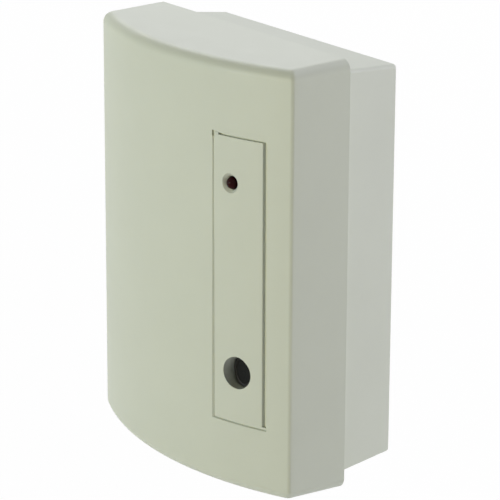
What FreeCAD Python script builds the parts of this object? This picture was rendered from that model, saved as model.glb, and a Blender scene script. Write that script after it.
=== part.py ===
import FreeCAD, Part
import math
import os
import Sketcher

# Acoustic glass break sensor for a wall: a tapered rear base, a bow-fronted cover that clips over its lip,
# and a flush front strip with the windows of the indicator and the microphone. A circuit board stands on
# four posts of the base and carries the electronics.
# Frame: X to the right, Z up, the wall is the plane Y = 0 and the front looks along -Y. "Ahead" below is the
# distance in front of the wall. The origin is the middle of the back face, where it meets the wall.

# Driving dimensions in millimetres. Each one can be changed by itself.
SIZES = {
    # Front cover
    "cover_width": 80.0,
    "cover_height": 108.0,
    "cover_side_depth": 17.3,
    "cover_bow": 9.0,
    "cover_draft": 0.45,
    "cover_wall": 2.2,
    "cover_edge_radius": 2.8,
    "side_edge_radius": 0.9,
    "inner_corner_radius": 0.9,
    # Rear base
    "base_depth": 17.3,
    "base_side_inset": 1.4,
    "base_top_inset": 2.7,
    "base_bottom_inset": 3.8,
    "base_side_taper": 3.25,
    "base_top_taper": 1.7,
    "base_bottom_taper": 0.6,
    "base_wall": 2.0,
    "base_floor": 2.4,
    "base_corner_radius": 1.0,
    "base_back_chamfer": 0.5,
    "lip_depth": 4.0,
    "lip_side_wall": 1.6,
    "lip_end_wall": 2.6,
    "lip_corner_radius": 1.5,
    "fit_clearance": 0.25,
    # Snap catches of the cover
    "catch_height": 0.9,
    "catch_width": 8.0,
    "catch_setback": 1.0,
    "catch_length": 1.6,
    "catch_spacing": 36.0,
    "latch_width": 14.0,
    "latch_slit": 0.8,
    "release_width": 12.0,
    "release_depth": 1.6,
    # Wall fixing and wiring
    "wall_screw_spacing": 83.3,
    "wall_screw_hole": 4.4,
    "wall_screw_boss": 9.0,
    "wall_boss_height": 1.4,
    "wire_entry_width": 22.0,
    "wire_entry_height": 12.0,
    "wire_entry_middle": 15.0,
    # Front strip and its recess
    "strip_right_inset": 7.35,
    "strip_width": 14.1,
    "strip_top_inset": 18.8,
    "strip_bottom_inset": 17.9,
    "strip_thickness": 2.2,
    "strip_left_gap": 0.45,
    "strip_right_gap": 1.25,
    "strip_end_gap": 0.5,
    "recess_floor": 1.7,
    "recess_margin": 2.0,
    "clip_width": 5.0,
    "clip_thickness": 1.4,
    "clip_inset": 3.0,
    "clip_barb": 0.7,
    "clip_nose": 1.6,
    # Indicator
    "led_inset": 4.75,
    "led_drop": 11.35,
    "led_window": 3.4,
    "led_countersink": 0.65,
    "led_diameter": 3.0,
    "led_flange_diameter": 3.9,
    "led_flange": 1.0,
    "led_length": 5.3,
    "led_setback": 0.5,
    "led_pitch": 2.54,
    "led_lead": 0.5,
    "spacer_diameter": 5.0,
    "spacer_slot": 0.9,
    # Microphone
    "microphone_inset": 6.9,
    "microphone_rise": 12.65,
    "microphone_window": 8.06,
    "microphone_setback": 3.0,
    "boot_nose_diameter": 7.8,
    "boot_diameter": 10.4,
    "boot_shoulder": 6.2,
    "capsule_diameter": 6.0,
    "capsule_length": 5.0,
    "felt_thickness": 0.5,
    "felt_setback": 0.15,
    # Circuit board and its posts
    "board_ahead": 26.0,
    "board_thickness": 1.6,
    "board_side_gap": 4.8,
    "board_end_gap": 14.8,
    "board_corner_radius": 2.0,
    "post_inset": 4.0,
    "post_diameter": 6.0,
    "pilot_diameter": 2.2,
    "pilot_depth": 9.0,
    "pin_diameter": 2.6,
    "pin_stand": 0.6,
    "gusset_reach": 5.0,
    "gusset_height": 12.0,
    "gusset_thickness": 1.2,
    "screw_clearance": 0.05,
    "screw_length": 7.5,
    "screw_head_diameter": 5.0,
    "screw_head_height": 1.9,
    # Terminal block
    "terminal_inset": 8.0,
    "terminal_setback": 1.0,
    "terminal_pitch": 5.08,
    "terminal_count": 6,
    "terminal_depth": 8.2,
    "terminal_rise": 9.0,
    "terminal_step": 3.0,
    "terminal_well": 4.2,
    "terminal_well_depth": 3.0,
    "terminal_screw_diameter": 3.7,
    "terminal_screw_length": 2.2,
    "wire_hole_width": 4.0,
    "wire_hole_rise": 3.8,
    "wire_hole_depth": 6.0,
    "clamp_wall": 0.5,
    "clamp_length": 4.2,
    "clamp_clearance": 0.1,
    # Tamper switch
    "tamper_inset": 5.45,
    "tamper_up": 2.0,
    "tamper_side": 7.0,
    "tamper_rise": 5.2,
    "plunger_diameter": 2.4,
    "plunger_clearance": 0.05,
    "plunger_stand": 1.4,
    "plunger_travel": 0.8,
    "plunger_collar": 3.6,
    "plunger_collar_height": 0.7,
    "plunger_held_down": 0.6,
    "tamper_roof": 1.4,
    "tamper_post_diameter": 4.0,
    # Relay
    "relay_left": -20.0,
    "relay_setback": 15.0,
    "relay_width": 15.2,
    "relay_height": 10.4,
    "relay_rise": 10.8,
    "relay_edge": 0.6,
    # Chips in dual rows
    "chip_width": 6.4,
    "chip_rise": 3.4,
    "chip_stand": 0.5,
    "chip_pin_spacing": 2.54,
    "chip_pin_width": 1.2,
    "chip_pin_thickness": 0.3,
    "chip_notch_depth": 0.3,
    "processor_across": -12.0,
    "processor_up": 8.0,
    "processor_pins": 10,
    "amplifier_across": 7.0,
    "amplifier_up": -4.5,
    "amplifier_pins": 7,
    # Capacitors, crystal, regulator, diodes
    "large_capacitor_diameter": 8.0,
    "large_capacitor_rise": 11.0,
    "large_capacitor_across": -9.0,
    "large_capacitor_drop": 11.0,
    "middle_capacitor_diameter": 6.3,
    "middle_capacitor_rise": 9.0,
    "middle_capacitor_across": 1.0,
    "middle_capacitor_drop": 11.0,
    "small_capacitor_diameter": 5.0,
    "small_capacitor_rise": 8.0,
    "small_capacitor_across": -18.5,
    "small_capacitor_drop": 11.0,
    "crystal_across": 11.0,
    "crystal_up": 12.0,
    "crystal_length": 11.0,
    "crystal_width": 4.6,
    "crystal_corner": 2.2,
    "crystal_rise": 3.5,
    "regulator_across": 12.0,
    "regulator_setback": 19.0,
    "regulator_diameter": 4.8,
    "regulator_flat": 1.4,
    "regulator_rise": 4.6,
    "diode_across": 1.0,
    "diode_setback": 18.0,
    "diode_length": 4.4,
    "diode_width": 2.6,
    "diode_rise": 2.3,
    "diode_spacing": 4.0,
    # Jumper header
    "header_across": 11.0,
    "header_drop": 10.0,
    "header_pitch": 2.54,
    "header_positions": 4,
    "header_rise": 2.5,
    "header_pin": 0.64,
    "header_pin_rise": 8.4,
    "link_rise": 5.0,
    "link_clearance": 0.15,
    # Surface-mounted parts
    "resistor_count": 9,
    "resistor_spacing": 4.9,
    "resistor_left": -27.5,
    "resistor_up": 1.0,
    "resistor_length": 2.0,
    "resistor_width": 1.25,
    "resistor_rise": 0.55,
    "ceramic_count": 7,
    "ceramic_spacing": 5.4,
    "ceramic_left": -22.0,
    "ceramic_setback": 12.0,
    "ceramic_length": 2.0,
    "ceramic_width": 1.25,
    "ceramic_rise": 1.1,
}


# Lengths that keep their formula


def number(item):
    """The present value of a length or of a plain number."""
    return item.value if isinstance(item, Length) else float(item)


def formula(item):
    """The text of a length, or of a plain number, for the sheet's expressions."""
    return item.text if isinstance(item, Length) else f"{float(item):g}"


class Length:
    """A length as a formula of the sheet's cells, with its present value beside it."""

    def __init__(self, text, value):
        self.text = text
        self.value = value

    def __add__(self, other):
        return Length(f"({self.text} + {formula(other)})", self.value + number(other))

    def __radd__(self, other):
        return self + other

    def __sub__(self, other):
        return Length(f"({self.text} - {formula(other)})", self.value - number(other))

    def __rsub__(self, other):
        return Length(f"({formula(other)} - {self.text})", number(other) - self.value)

    def __mul__(self, other):
        return Length(f"({self.text} * {formula(other)})", self.value * number(other))

    def __rmul__(self, other):
        return self * other

    def __truediv__(self, other):
        return Length(f"({self.text} / {formula(other)})", self.value / number(other))

    def __neg__(self):
        return Length(f"(0 - {self.text})", -self.value)


def root(item):
    """The square root of a length squared."""
    return Length(f"sqrt({item.text})", math.sqrt(item.value))


class Sheet:
    """The spreadsheet of driving dimensions, each of them an attribute with the name of its cell."""

    def __init__(self, document, sizes):
        self.sheet = document.addObject("Spreadsheet::Sheet", "Sizes")
        for row, (name, value) in enumerate(sizes.items(), start=1):
            self.sheet.set(f"A{row}", name)
            self.sheet.set(f"B{row}", str(value))
            self.sheet.setAlias(f"B{row}", name)
            setattr(self, name, Length(f"Sizes.{name}", float(value)))


# Drawing and feature helpers


class Bow:
    """An arc between two corners of an outline, given by its centre and radius."""

    def __init__(self, across, up, radius):
        self.across = across
        self.up = up
        self.radius = radius


class Ring:
    """A full circle as an outline of its own."""

    def __init__(self, across, up, diameter):
        self.across = across
        self.up = up
        self.radius = diameter / 2


def rectangle(left, right, bottom, top):
    """The four corners of a rectangle."""
    return [(left, bottom), (right, bottom), (right, top), (left, top)]


def rounded_rectangle(left, right, bottom, top, radius):
    """A rectangle with equal round corners."""
    return [
        (left + radius, bottom),
        (right - radius, bottom),
        Bow(right - radius, bottom + radius, radius),
        (right, bottom + radius),
        (right, top - radius),
        Bow(right - radius, top - radius, radius),
        (right - radius, top),
        (left + radius, top),
        Bow(left + radius, top - radius, radius),
        (left, top - radius),
        (left, bottom + radius),
        Bow(left + radius, bottom + radius, radius),
    ]


def bind(target, path, item):
    """Ties one property to the sheet."""
    target.setExpression(path, formula(item))


# Points of a drawn line or arc, as the sketches number them
ORIGIN = (-1, 1)
START = 1
END = 2
CENTRE = 3


def tie_point(sketch, index, point, across, up):
    """Ties both coordinates of one point of a line or arc to the sheet."""
    for kind, item in (("DistanceX", across), ("DistanceY", up)):
        tie = sketch.addConstraint(Sketcher.Constraint(kind, *ORIGIN, index, point, number(item)))
        bind(sketch, f"Constraints[{tie}]", item)


def tie_radius(sketch, index, radius):
    """Ties the radius of a circle or arc to the sheet."""
    tie = sketch.addConstraint(Sketcher.Constraint("Radius", index, number(radius)))
    bind(sketch, f"Constraints[{tie}]", radius)


def add_ring(sketch, ring):
    """Draws a circle and ties its centre and radius to the sheet."""
    centre = FreeCAD.Vector(number(ring.across), number(ring.up), 0)
    index = sketch.addGeometry(Part.Circle(centre, FreeCAD.Vector(0, 0, 1), number(ring.radius)), False)
    tie_point(sketch, index, CENTRE, ring.across, ring.up)
    tie_radius(sketch, index, ring.radius)


def add_outline(sketch, outline):
    """Draws a closed outline of corners and arcs, and ties every corner and radius to the sheet."""
    corners = []
    bows = {}
    for item in outline:
        if isinstance(item, Bow):
            bows[len(corners) - 1] = item
        else:
            corners.append(item)
    points = [FreeCAD.Vector(number(across), number(up), 0) for across, up in corners]
    edges = []
    for place, start in enumerate(points):
        end = points[(place + 1) % len(points)]
        if place not in bows:
            edges.append((sketch.addGeometry(Part.LineSegment(start, end), False), START, END))
            continue
        bow = bows[place]
        centre = FreeCAD.Vector(number(bow.across), number(bow.up), 0)
        angles = [math.atan2(point.y - centre.y, point.x - centre.x) for point in (start, end)]
        turns_left = (start - centre).cross(end - centre).z > 0
        if not turns_left:
            angles.reverse()
        circle = Part.Circle(centre, FreeCAD.Vector(0, 0, 1), number(bow.radius))
        index = sketch.addGeometry(Part.ArcOfCircle(circle, *angles), False)
        edges.append((index, START, END) if turns_left else (index, END, START))
    for place, (index, enters, leaves) in enumerate(edges):
        following, follows_at, _ = edges[(place + 1) % len(edges)]
        sketch.addConstraint(Sketcher.Constraint("Coincident", index, leaves, following, follows_at))
        tie_point(sketch, index, enters, *corners[place])
        if place in bows:
            tie_radius(sketch, index, bows[place].radius)


def origin_feature(body, role):
    """One of a body's own origin planes or axes."""
    return next(item for item in body.Origin.OriginFeatures if item.Role == role)


def draw(body, name, role, outlines, offset=0):
    """A sketch on an origin plane of the body, moved along the plane's normal."""
    sketch = body.newObject("Sketcher::SketchObject", name)
    sketch.AttachmentSupport = (origin_feature(body, role), [""])
    sketch.MapMode = "FlatFace"
    bind(sketch, ".AttachmentOffset.Base.z", offset)
    for outline in outlines:
        if isinstance(outline, Ring):
            add_ring(sketch, outline)
        else:
            add_outline(sketch, outline)
    return sketch


def extrude(body, name, role, outlines, offset, length, cut=False, both_ways=False):
    """Adds or cuts a straight extrusion along the plane's normal: the front is the normal of the XZ plane."""
    before = body.Shape.Volume if cut else 0
    sketch = draw(body, name + "_outline", role, outlines, offset)
    feature = body.newObject("PartDesign::Pocket" if cut else "PartDesign::Pad", name)
    feature.Profile = sketch
    bind(feature, "Length", length)
    feature.Reversed = cut
    if both_ways:
        feature.SideType = "Symmetric"
    body.Document.recompute()
    if cut and not body.Shape.Volume < before:
        raise RuntimeError(name + " cuts nothing")
    return feature


def revolve(body, name, profile, cut=False):
    """Turns a profile, given by radius and distance ahead, about the body's own front-to-back axis."""
    before = body.Shape.Volume if cut else 0
    outline = [
        Bow(item.across, -item.up, item.radius) if isinstance(item, Bow) else (item[0], -item[1])
        for item in profile
    ]
    sketch = draw(body, name + "_profile", "XY_Plane", [outline])
    feature = body.newObject("PartDesign::Groove" if cut else "PartDesign::Revolution", name)
    feature.Profile = sketch
    feature.ReferenceAxis = (origin_feature(body, "Y_Axis"), [""])
    feature.Angle = 360
    body.Document.recompute()
    if cut and not body.Shape.Volume < before:
        raise RuntimeError(name + " cuts nothing")
    return feature


def dress(body, name, kind, size, chosen):
    """Rounds or chamfers the edges of the body that the test picks."""
    tip = body.Tip
    names = [f"Edge{place}" for place, edge in enumerate(tip.Shape.Edges, start=1) if chosen(edge)]
    if not names:
        raise RuntimeError(name + " finds no edge")
    feature = body.newObject("PartDesign::" + kind, name)
    feature.Base = (tip, names)
    bind(feature, "Radius" if kind == "Fillet" else "Size", size)
    body.Document.recompute()
    return feature


def loft(body, name, kind, start, end):
    """Joins two sketches with straight walls, which are added to the body or taken from it."""
    feature = body.newObject(f"PartDesign::{kind}Loft", name)
    feature.Profile = start
    feature.Sections = [end]
    feature.Ruled = True
    body.Document.recompute()
    return feature


def repeat(body, name, originals, length, count):
    """Repeats features along X."""
    feature = body.newObject("PartDesign::LinearPattern", name)
    feature.Originals = originals
    feature.Direction = (origin_feature(body, "X_Axis"), [""])
    bind(feature, "Length", length)
    bind(feature, "Occurrences", count)
    body.Tip = feature
    body.Document.recompute()
    return feature


def new_body(document, name):
    """An empty body with the name of its node."""
    body = document.addObject("PartDesign::Body", name)
    body.Label = name
    body.AllowCompound = True
    return body


def place(item, across, ahead, up):
    """Puts an object at its place in the frame, tied to the sheet."""
    bind(item, ".Placement.Base.x", across)
    bind(item, ".Placement.Base.y", -ahead)
    bind(item, ".Placement.Base.z", up)


def gather(document, name, items):
    """One node of several separate solids."""
    group = document.addObject("Part::Compound", name)
    group.Label = name
    group.Links = items
    return group


FRONTWARD = FreeCAD.Vector(0, -1, 0)

# How near an edge lies to the place where it is looked for
NEAR = 0.05


def runs_along(edge, axis):
    """Whether an edge is straight and parallel to an axis of the frame."""
    ends = edge.Vertexes
    if len(ends) != 2:
        return False
    span = ends[1].Point - ends[0].Point
    return span.Length > NEAR and abs(span.dot(axis)) > span.Length - NEAR


def crosses(edge, depth):
    """Whether an edge runs through the whole of a depth, from front to back."""
    return edge.BoundBox.YLength > number(depth) - NEAR


# Shared places, worked out from the driving dimensions


class Layout:
    """Places that more than one piece uses."""

    def __init__(self, sheet):
        half = sheet.cover_width / 2
        end = sheet.cover_height / 2
        self.front_radius = (half * half + sheet.cover_bow * sheet.cover_bow) / (2 * sheet.cover_bow)
        self.front_ahead = sheet.base_depth + sheet.cover_side_depth + sheet.cover_bow
        self.bow_centre = self.front_ahead - self.front_radius
        self.inner_half = half - sheet.cover_wall
        self.inner_end = end - sheet.cover_wall
        # Outside of the base at its rim and at the wall
        self.rim_half = half - sheet.base_side_inset
        self.rim_top = end - sheet.base_top_inset
        self.rim_bottom = end - sheet.base_bottom_inset
        self.back_half = self.rim_half - sheet.base_side_taper
        self.back_top = self.rim_top - sheet.base_top_taper
        self.back_bottom = self.rim_bottom - sheet.base_bottom_taper
        # Circuit board and its posts
        self.board_half = self.inner_half - sheet.board_side_gap
        self.board_end = self.inner_end - sheet.board_end_gap
        self.board_front = sheet.board_ahead + sheet.board_thickness
        self.post_across = self.board_half - sheet.post_inset
        self.post_up = self.board_end - sheet.post_inset
        # Front strip and its recess
        self.strip_right = half - sheet.strip_right_inset
        self.strip_left = self.strip_right - sheet.strip_width
        self.strip_top = end - sheet.strip_top_inset
        self.strip_bottom = sheet.strip_bottom_inset - end
        self.recess_left = self.strip_left - sheet.strip_left_gap
        self.recess_right = self.strip_right + sheet.strip_right_gap
        self.recess_top = self.strip_top + sheet.strip_end_gap
        self.recess_bottom = self.strip_bottom - sheet.strip_end_gap
        self.recess_back = sheet.strip_thickness + sheet.recess_floor
        # Indicator, microphone and tamper switch behind the strip
        self.led_across = self.strip_left + sheet.led_inset
        self.led_up = self.strip_top - sheet.led_drop
        self.led_tip = self.surface(self.led_across) - sheet.led_setback
        self.led_back = self.led_tip - sheet.led_length
        self.microphone_across = self.strip_left + sheet.microphone_inset
        self.microphone_up = self.strip_bottom + sheet.microphone_rise
        self.microphone_front = self.surface(self.microphone_across) - sheet.microphone_setback
        self.tamper_across = self.strip_left + sheet.tamper_inset
        self.plunger_tip = self.board_front + sheet.tamper_rise + sheet.plunger_stand

    def surface(self, across, below=0):
        """How far ahead of the wall the bowed front is at a place across, or a surface parallel to it."""
        radius = self.front_radius - below
        return self.bow_centre + root(radius * radius - across * across)

    def band(self, left, right, outer_below, inner_below):
        """A plan outline between two curves parallel to the bowed front."""
        corners = []
        for below, sides in ((inner_below, (left, right)), (outer_below, (right, left))):
            corners.append((sides[0], -self.surface(sides[0], below)))
            corners.append(Bow(0, -self.bow_centre, self.front_radius - below))
            corners.append((sides[1], -self.surface(sides[1], below)))
        return corners


# Casing


def rear_base(document, sheet, layout):
    """Tapered tray with the wall fixing, the wire entry, the board's posts and the lip under the cover."""
    body = new_body(document, "rear_base")
    depth = sheet.base_depth
    plan = [
        (-layout.back_half, 0),
        (layout.back_half, 0),
        (layout.rim_half, -depth),
        (-layout.rim_half, -depth),
    ]
    height = layout.rim_top + layout.rim_bottom
    extrude(body, "tapered_block", "XY_Plane", [plan], -layout.rim_bottom, height)
    beyond = sheet.base_corner_radius
    ends = []
    for side, rim_end, back_end in (
        (1, layout.rim_top, layout.back_top),
        (-1, layout.rim_bottom, layout.back_bottom),
    ):
        behind_end = back_end - (rim_end - back_end) * beyond / depth
        outside = side * (rim_end + beyond)
        near_edge = [(-depth, side * rim_end), (beyond, side * behind_end)]
        ends.append(near_edge + [(beyond, outside), (-depth, outside)])
    extrude(body, "end_taper", "YZ_Plane", ends, 0, 2 * layout.rim_half + beyond, cut=True, both_ways=True)
    dress(body, "corner_rounding", "Fillet", sheet.base_corner_radius, lambda edge: crosses(edge, depth))
    dress(body, "back_edge", "Chamfer", sheet.base_back_chamfer, lambda edge: edge.BoundBox.YMin > -NEAR)

    wall = sheet.base_wall
    floor_box = rectangle(
        wall - layout.back_half, layout.back_half - wall, wall - layout.back_bottom, layout.back_top - wall
    )
    mouth_box = rectangle(
        wall - layout.rim_half, layout.rim_half - wall, wall - layout.rim_bottom, layout.rim_top - wall
    )
    floor = draw(body, "cavity_floor", "XZ_Plane", [floor_box], sheet.base_floor)
    mouth = draw(body, "cavity_mouth", "XZ_Plane", [mouth_box], depth)
    loft(body, "cavity", "Subtractive", floor, mouth)

    lip_half = layout.inner_half - sheet.fit_clearance
    lip_end = layout.inner_end - sheet.fit_clearance
    lip_hole = rectangle(
        sheet.lip_side_wall - lip_half,
        lip_half - sheet.lip_side_wall,
        sheet.lip_end_wall - lip_end,
        lip_end - sheet.lip_end_wall,
    )
    lip = rounded_rectangle(-lip_half, lip_half, -lip_end, lip_end, sheet.lip_corner_radius)
    extrude(body, "lip", "XZ_Plane", [lip, lip_hole], depth, sheet.lip_depth)
    add_posts(body, sheet, layout)
    add_wall_fixing(body, sheet)

    # The catches of the cover stand in windows of the lip, and slits free the tongue of the lower one.
    play = sheet.fit_clearance
    window_start = depth + sheet.catch_setback - play
    window_end = window_start + sheet.catch_length + 2 * play
    window_half = sheet.catch_width / 2 + play
    window_low = lip_end - sheet.lip_end_wall - play
    window_high = lip_end + play
    upper = []
    for side in (-1, 1):
        middle = side * sheet.catch_spacing / 2
        upper.append(rectangle(middle - window_half, middle + window_half, -window_end, -window_start))
    extrude(body, "upper_windows", "XY_Plane", upper, window_low, window_high - window_low, cut=True)
    latch_half = sheet.latch_width / 2
    lower = [rectangle(-latch_half - play, latch_half + play, -window_end, -window_start)]
    extrude(body, "lower_window", "XY_Plane", lower, -window_high, window_high - window_low, cut=True)
    slit_start = latch_half + 2 * sheet.latch_slit
    slits = [
        rectangle(side * slit_start, side * (slit_start + sheet.latch_slit), -window_high, -window_low)
        for side in (-1, 1)
    ]
    extrude(body, "latch_slits", "XZ_Plane", slits, depth, sheet.lip_depth, cut=True)
    return body


def add_posts(body, sheet, layout):
    """Four posts with gussets: two have pilot holes for screws and two end in pins that locate the board."""
    foot = sheet.base_floor / 2
    posts = [
        Ring(layout.post_across * side, layout.post_up * end, sheet.post_diameter)
        for side in (-1, 1)
        for end in (-1, 1)
    ]
    extrude(body, "posts", "XZ_Plane", posts, foot, sheet.board_ahead - foot)
    pilots = [
        Ring(layout.post_across * side, layout.post_up * side, sheet.pilot_diameter) for side in (-1, 1)
    ]
    pilot_start = sheet.board_ahead - sheet.pilot_depth
    extrude(body, "pilot_holes", "XZ_Plane", pilots, pilot_start, sheet.pilot_depth, cut=True)
    pins = [
        Ring(layout.post_across * side, -layout.post_up * side, sheet.pin_diameter) for side in (-1, 1)
    ]
    pin_length = sheet.board_thickness + sheet.pin_stand
    extrude(body, "board_pins", "XZ_Plane", pins, sheet.board_ahead, pin_length)
    heel = layout.post_across - sheet.post_diameter / 4
    toe = layout.post_across - sheet.post_diameter / 2 - sheet.gusset_reach
    top = sheet.base_floor + sheet.gusset_height
    gussets = [[(heel * side, -foot), (toe * side, -foot), (heel * side, -top)] for side in (-1, 1)]
    for end, name in ((-1, "lower_gussets"), (1, "upper_gussets")):
        start = layout.post_up * end - sheet.gusset_thickness / 2
        extrude(body, name, "XY_Plane", gussets, start, sheet.gusset_thickness)


def add_wall_fixing(body, sheet):
    """Two bossed holes for the wall screws and the opening that the wires come in by."""
    foot = sheet.base_floor / 2
    holes_up = sheet.wall_screw_spacing / 2
    through = sheet.base_floor + sheet.wall_boss_height
    bosses = [Ring(0, holes_up * end, sheet.wall_screw_boss) for end in (-1, 1)]
    extrude(body, "wall_screw_bosses", "XZ_Plane", bosses, foot, through - foot)
    holes = [Ring(0, holes_up * end, sheet.wall_screw_hole) for end in (-1, 1)]
    extrude(body, "wall_screw_holes", "XZ_Plane", holes, 0, through, cut=True)
    entry_half = sheet.wire_entry_width / 2
    entry_low = sheet.wire_entry_middle - sheet.wire_entry_height / 2
    entry = rectangle(-entry_half, entry_half, entry_low, entry_low + sheet.wire_entry_height)
    extrude(body, "wire_entry", "XZ_Plane", [entry], 0, sheet.base_floor, cut=True)


def front_cover(document, sheet, layout):
    """Bow-fronted shell with the recess of the strip, the snap catches and the post for the tamper switch."""
    body = new_body(document, "front_cover")
    add_cover_outside(body, sheet, layout)
    rim = sheet.base_depth
    inner = layout.inner_half
    inner_end = layout.inner_end
    behind = rim - sheet.cover_wall
    meets = layout.surface(inner, sheet.cover_wall)
    inner_bow = Bow(0, -layout.bow_centre, layout.front_radius - sheet.cover_wall)
    cavity = [(-inner, -behind), (inner, -behind), (inner, -meets), inner_bow, (-inner, -meets)]
    extrude(body, "cavity", "XY_Plane", [cavity], -inner_end, 2 * inner_end, cut=True)

    def in_cavity_corner(edge):
        middle = edge.CenterOfMass
        return (
            runs_along(edge, FRONTWARD)
            and abs(abs(middle.x) - number(inner)) < NEAR
            and abs(abs(middle.z) - number(inner_end)) < NEAR
        )

    dress(body, "cavity_rounding", "Fillet", sheet.inner_corner_radius, in_cavity_corner)
    add_recess(body, sheet, layout)

    # The tamper switch is held down by a post that grows from the recess floor.
    post = [Ring(layout.tamper_across, sheet.tamper_up, sheet.tamper_post_diameter)]
    post_end = layout.surface(layout.tamper_across, layout.recess_back - sheet.recess_floor / 2)
    extrude(body, "tamper_post", "XZ_Plane", post, layout.plunger_tip, post_end - layout.plunger_tip)

    # Catches: a lead-in slope towards the front edge of the lip and a square face that holds.
    catch_back = rim + sheet.catch_setback
    catch_front = catch_back + sheet.catch_length
    hold = inner_end + sheet.cover_wall / 2
    tooth = inner_end - sheet.catch_height
    half_way = catch_back + sheet.catch_length / 2
    profile = [
        (-catch_back, hold),
        (-catch_back, inner_end),
        (-half_way, tooth),
        (-catch_front, tooth),
        (-catch_front, hold),
    ]
    for side, name in ((-1, "left_catch"), (1, "right_catch")):
        start = side * sheet.catch_spacing / 2 - sheet.catch_width / 2
        extrude(body, name, "YZ_Plane", [profile], start, sheet.catch_width)
    lower = [(ahead, -up) for ahead, up in profile]
    extrude(body, "lower_catch", "YZ_Plane", [lower], -sheet.latch_width / 2, sheet.latch_width)
    release_half = sheet.release_width / 2
    release = [rectangle(-release_half, release_half, -(rim + sheet.release_depth), -behind)]
    bottom = -sheet.cover_height / 2
    extrude(body, "release_notch", "XY_Plane", release, bottom, sheet.cover_wall, cut=True)
    return body


def add_cover_outside(body, sheet, layout):
    """The bowed front part with its rounded ends, and behind it the skirt that widens towards the rim."""
    half = sheet.cover_width / 2
    rim_end = sheet.cover_height / 2
    front_end = rim_end - sheet.cover_draft
    rounding = sheet.cover_edge_radius
    waist = sheet.base_depth + sheet.cover_side_depth - rounding
    # The side edges are small arcs, tangent to the side wall and to the bow.
    small = sheet.side_edge_radius
    nearer = layout.front_radius - small
    hub = half - small
    turn = layout.bow_centre + root(nearer * nearer - hub * hub)
    meets_across = hub * layout.front_radius / nearer
    meets_ahead = layout.bow_centre + (turn - layout.bow_centre) * layout.front_radius / nearer
    plan = [
        (-half, -waist),
        (half, -waist),
        (half, -turn),
        Bow(hub, -turn, small),
        (meets_across, -meets_ahead),
        Bow(0, -layout.bow_centre, layout.front_radius),
        (-meets_across, -meets_ahead),
        Bow(-hub, -turn, small),
        (-half, -turn),
    ]
    extrude(body, "bowed_front", "XY_Plane", [plan], -front_end, 2 * front_end)

    def on_front_outline(edge):
        middle = edge.CenterOfMass
        return abs(abs(middle.z) - number(front_end)) < NEAR and middle.y < -number(waist) - NEAR

    dress(body, "end_rounding", "Fillet", rounding, on_front_outline)
    front = rounded_rectangle(-half, half, -front_end, front_end, rounding)
    back = rounded_rectangle(-half, half, -rim_end, rim_end, rounding)
    front_sketch = draw(body, "skirt_front", "XZ_Plane", [front], waist)
    back_sketch = draw(body, "skirt_back", "XZ_Plane", [back], sheet.base_depth)
    loft(body, "skirt", "Additive", back_sketch, front_sketch)


def add_recess(body, sheet, layout):
    """The recess of the strip has a floor of its own, with holes for the windows and the clips."""
    margin = sheet.recess_margin
    left = layout.recess_left
    right = layout.recess_right
    backing = layout.band(left - margin, right + margin, sheet.cover_wall / 2, layout.recess_back)
    low = layout.recess_bottom - margin
    extrude(body, "recess_backing", "XY_Plane", [backing], low, layout.recess_top + margin - low)
    pocket = layout.band(left, right, -sheet.strip_thickness, sheet.strip_thickness)
    height = layout.recess_top - layout.recess_bottom
    extrude(body, "strip_recess", "XY_Plane", [pocket], layout.recess_bottom, height, cut=True)
    play = sheet.fit_clearance
    windows = [
        Ring(layout.led_across, layout.led_up, sheet.led_flange_diameter + play),
        Ring(layout.microphone_across, layout.microphone_up, sheet.boot_nose_diameter + 2 * play),
    ]
    reach = sheet.cover_bow + layout.recess_back
    back = layout.front_ahead - reach
    extrude(body, "window_holes", "XZ_Plane", windows, back, reach, cut=True)
    slots = [
        rectangle(slot_left - play, slot_right + play, slot_low - play, slot_high + play)
        for slot_left, slot_right, slot_low, slot_high in clip_places(sheet, layout)
    ]
    extrude(body, "clip_slots", "XZ_Plane", slots, back, reach, cut=True)


def clip_places(sheet, layout):
    """Left, right, low and high of the strip's upper and lower clip legs."""
    middle = (layout.strip_left + layout.strip_right) / 2
    left = middle - sheet.clip_width / 2
    right = middle + sheet.clip_width / 2
    high = layout.strip_top - sheet.clip_inset
    low = layout.strip_bottom + sheet.clip_inset
    return (left, right, high - sheet.clip_thickness, high), (left, right, low, low + sheet.clip_thickness)


def front_strip(document, sheet, layout):
    """Bowed strip that lies flush in the cover, with the two windows and two clips behind."""
    body = new_body(document, "front_strip")
    band = layout.band(layout.strip_left, layout.strip_right, 0, sheet.strip_thickness)
    height = layout.strip_top - layout.strip_bottom
    extrude(body, "bowed_strip", "XY_Plane", [band], layout.strip_bottom, height)
    reach = sheet.cover_bow + sheet.strip_thickness
    windows = [
        Ring(layout.led_across, layout.led_up, sheet.led_window),
        Ring(layout.microphone_across, layout.microphone_up, sheet.microphone_window),
    ]
    extrude(body, "windows", "XZ_Plane", windows, layout.front_ahead - reach, reach, cut=True)
    surface = layout.surface(layout.led_across)
    window_middle = FreeCAD.Vector(number(layout.led_across), -number(surface), number(layout.led_up))

    def on_led_rim(edge):
        return (edge.CenterOfMass - window_middle).Length < number(sheet.led_window) / 4

    dress(body, "led_countersink", "Chamfer", sheet.led_countersink, on_led_rim)
    upper, lower = clip_places(sheet, layout)
    add_clip(body, "upper_clip", sheet, layout, upper, upper[3], upper[2], 1)
    add_clip(body, "lower_clip", sheet, layout, lower, lower[2], lower[3], -1)
    return body


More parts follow.
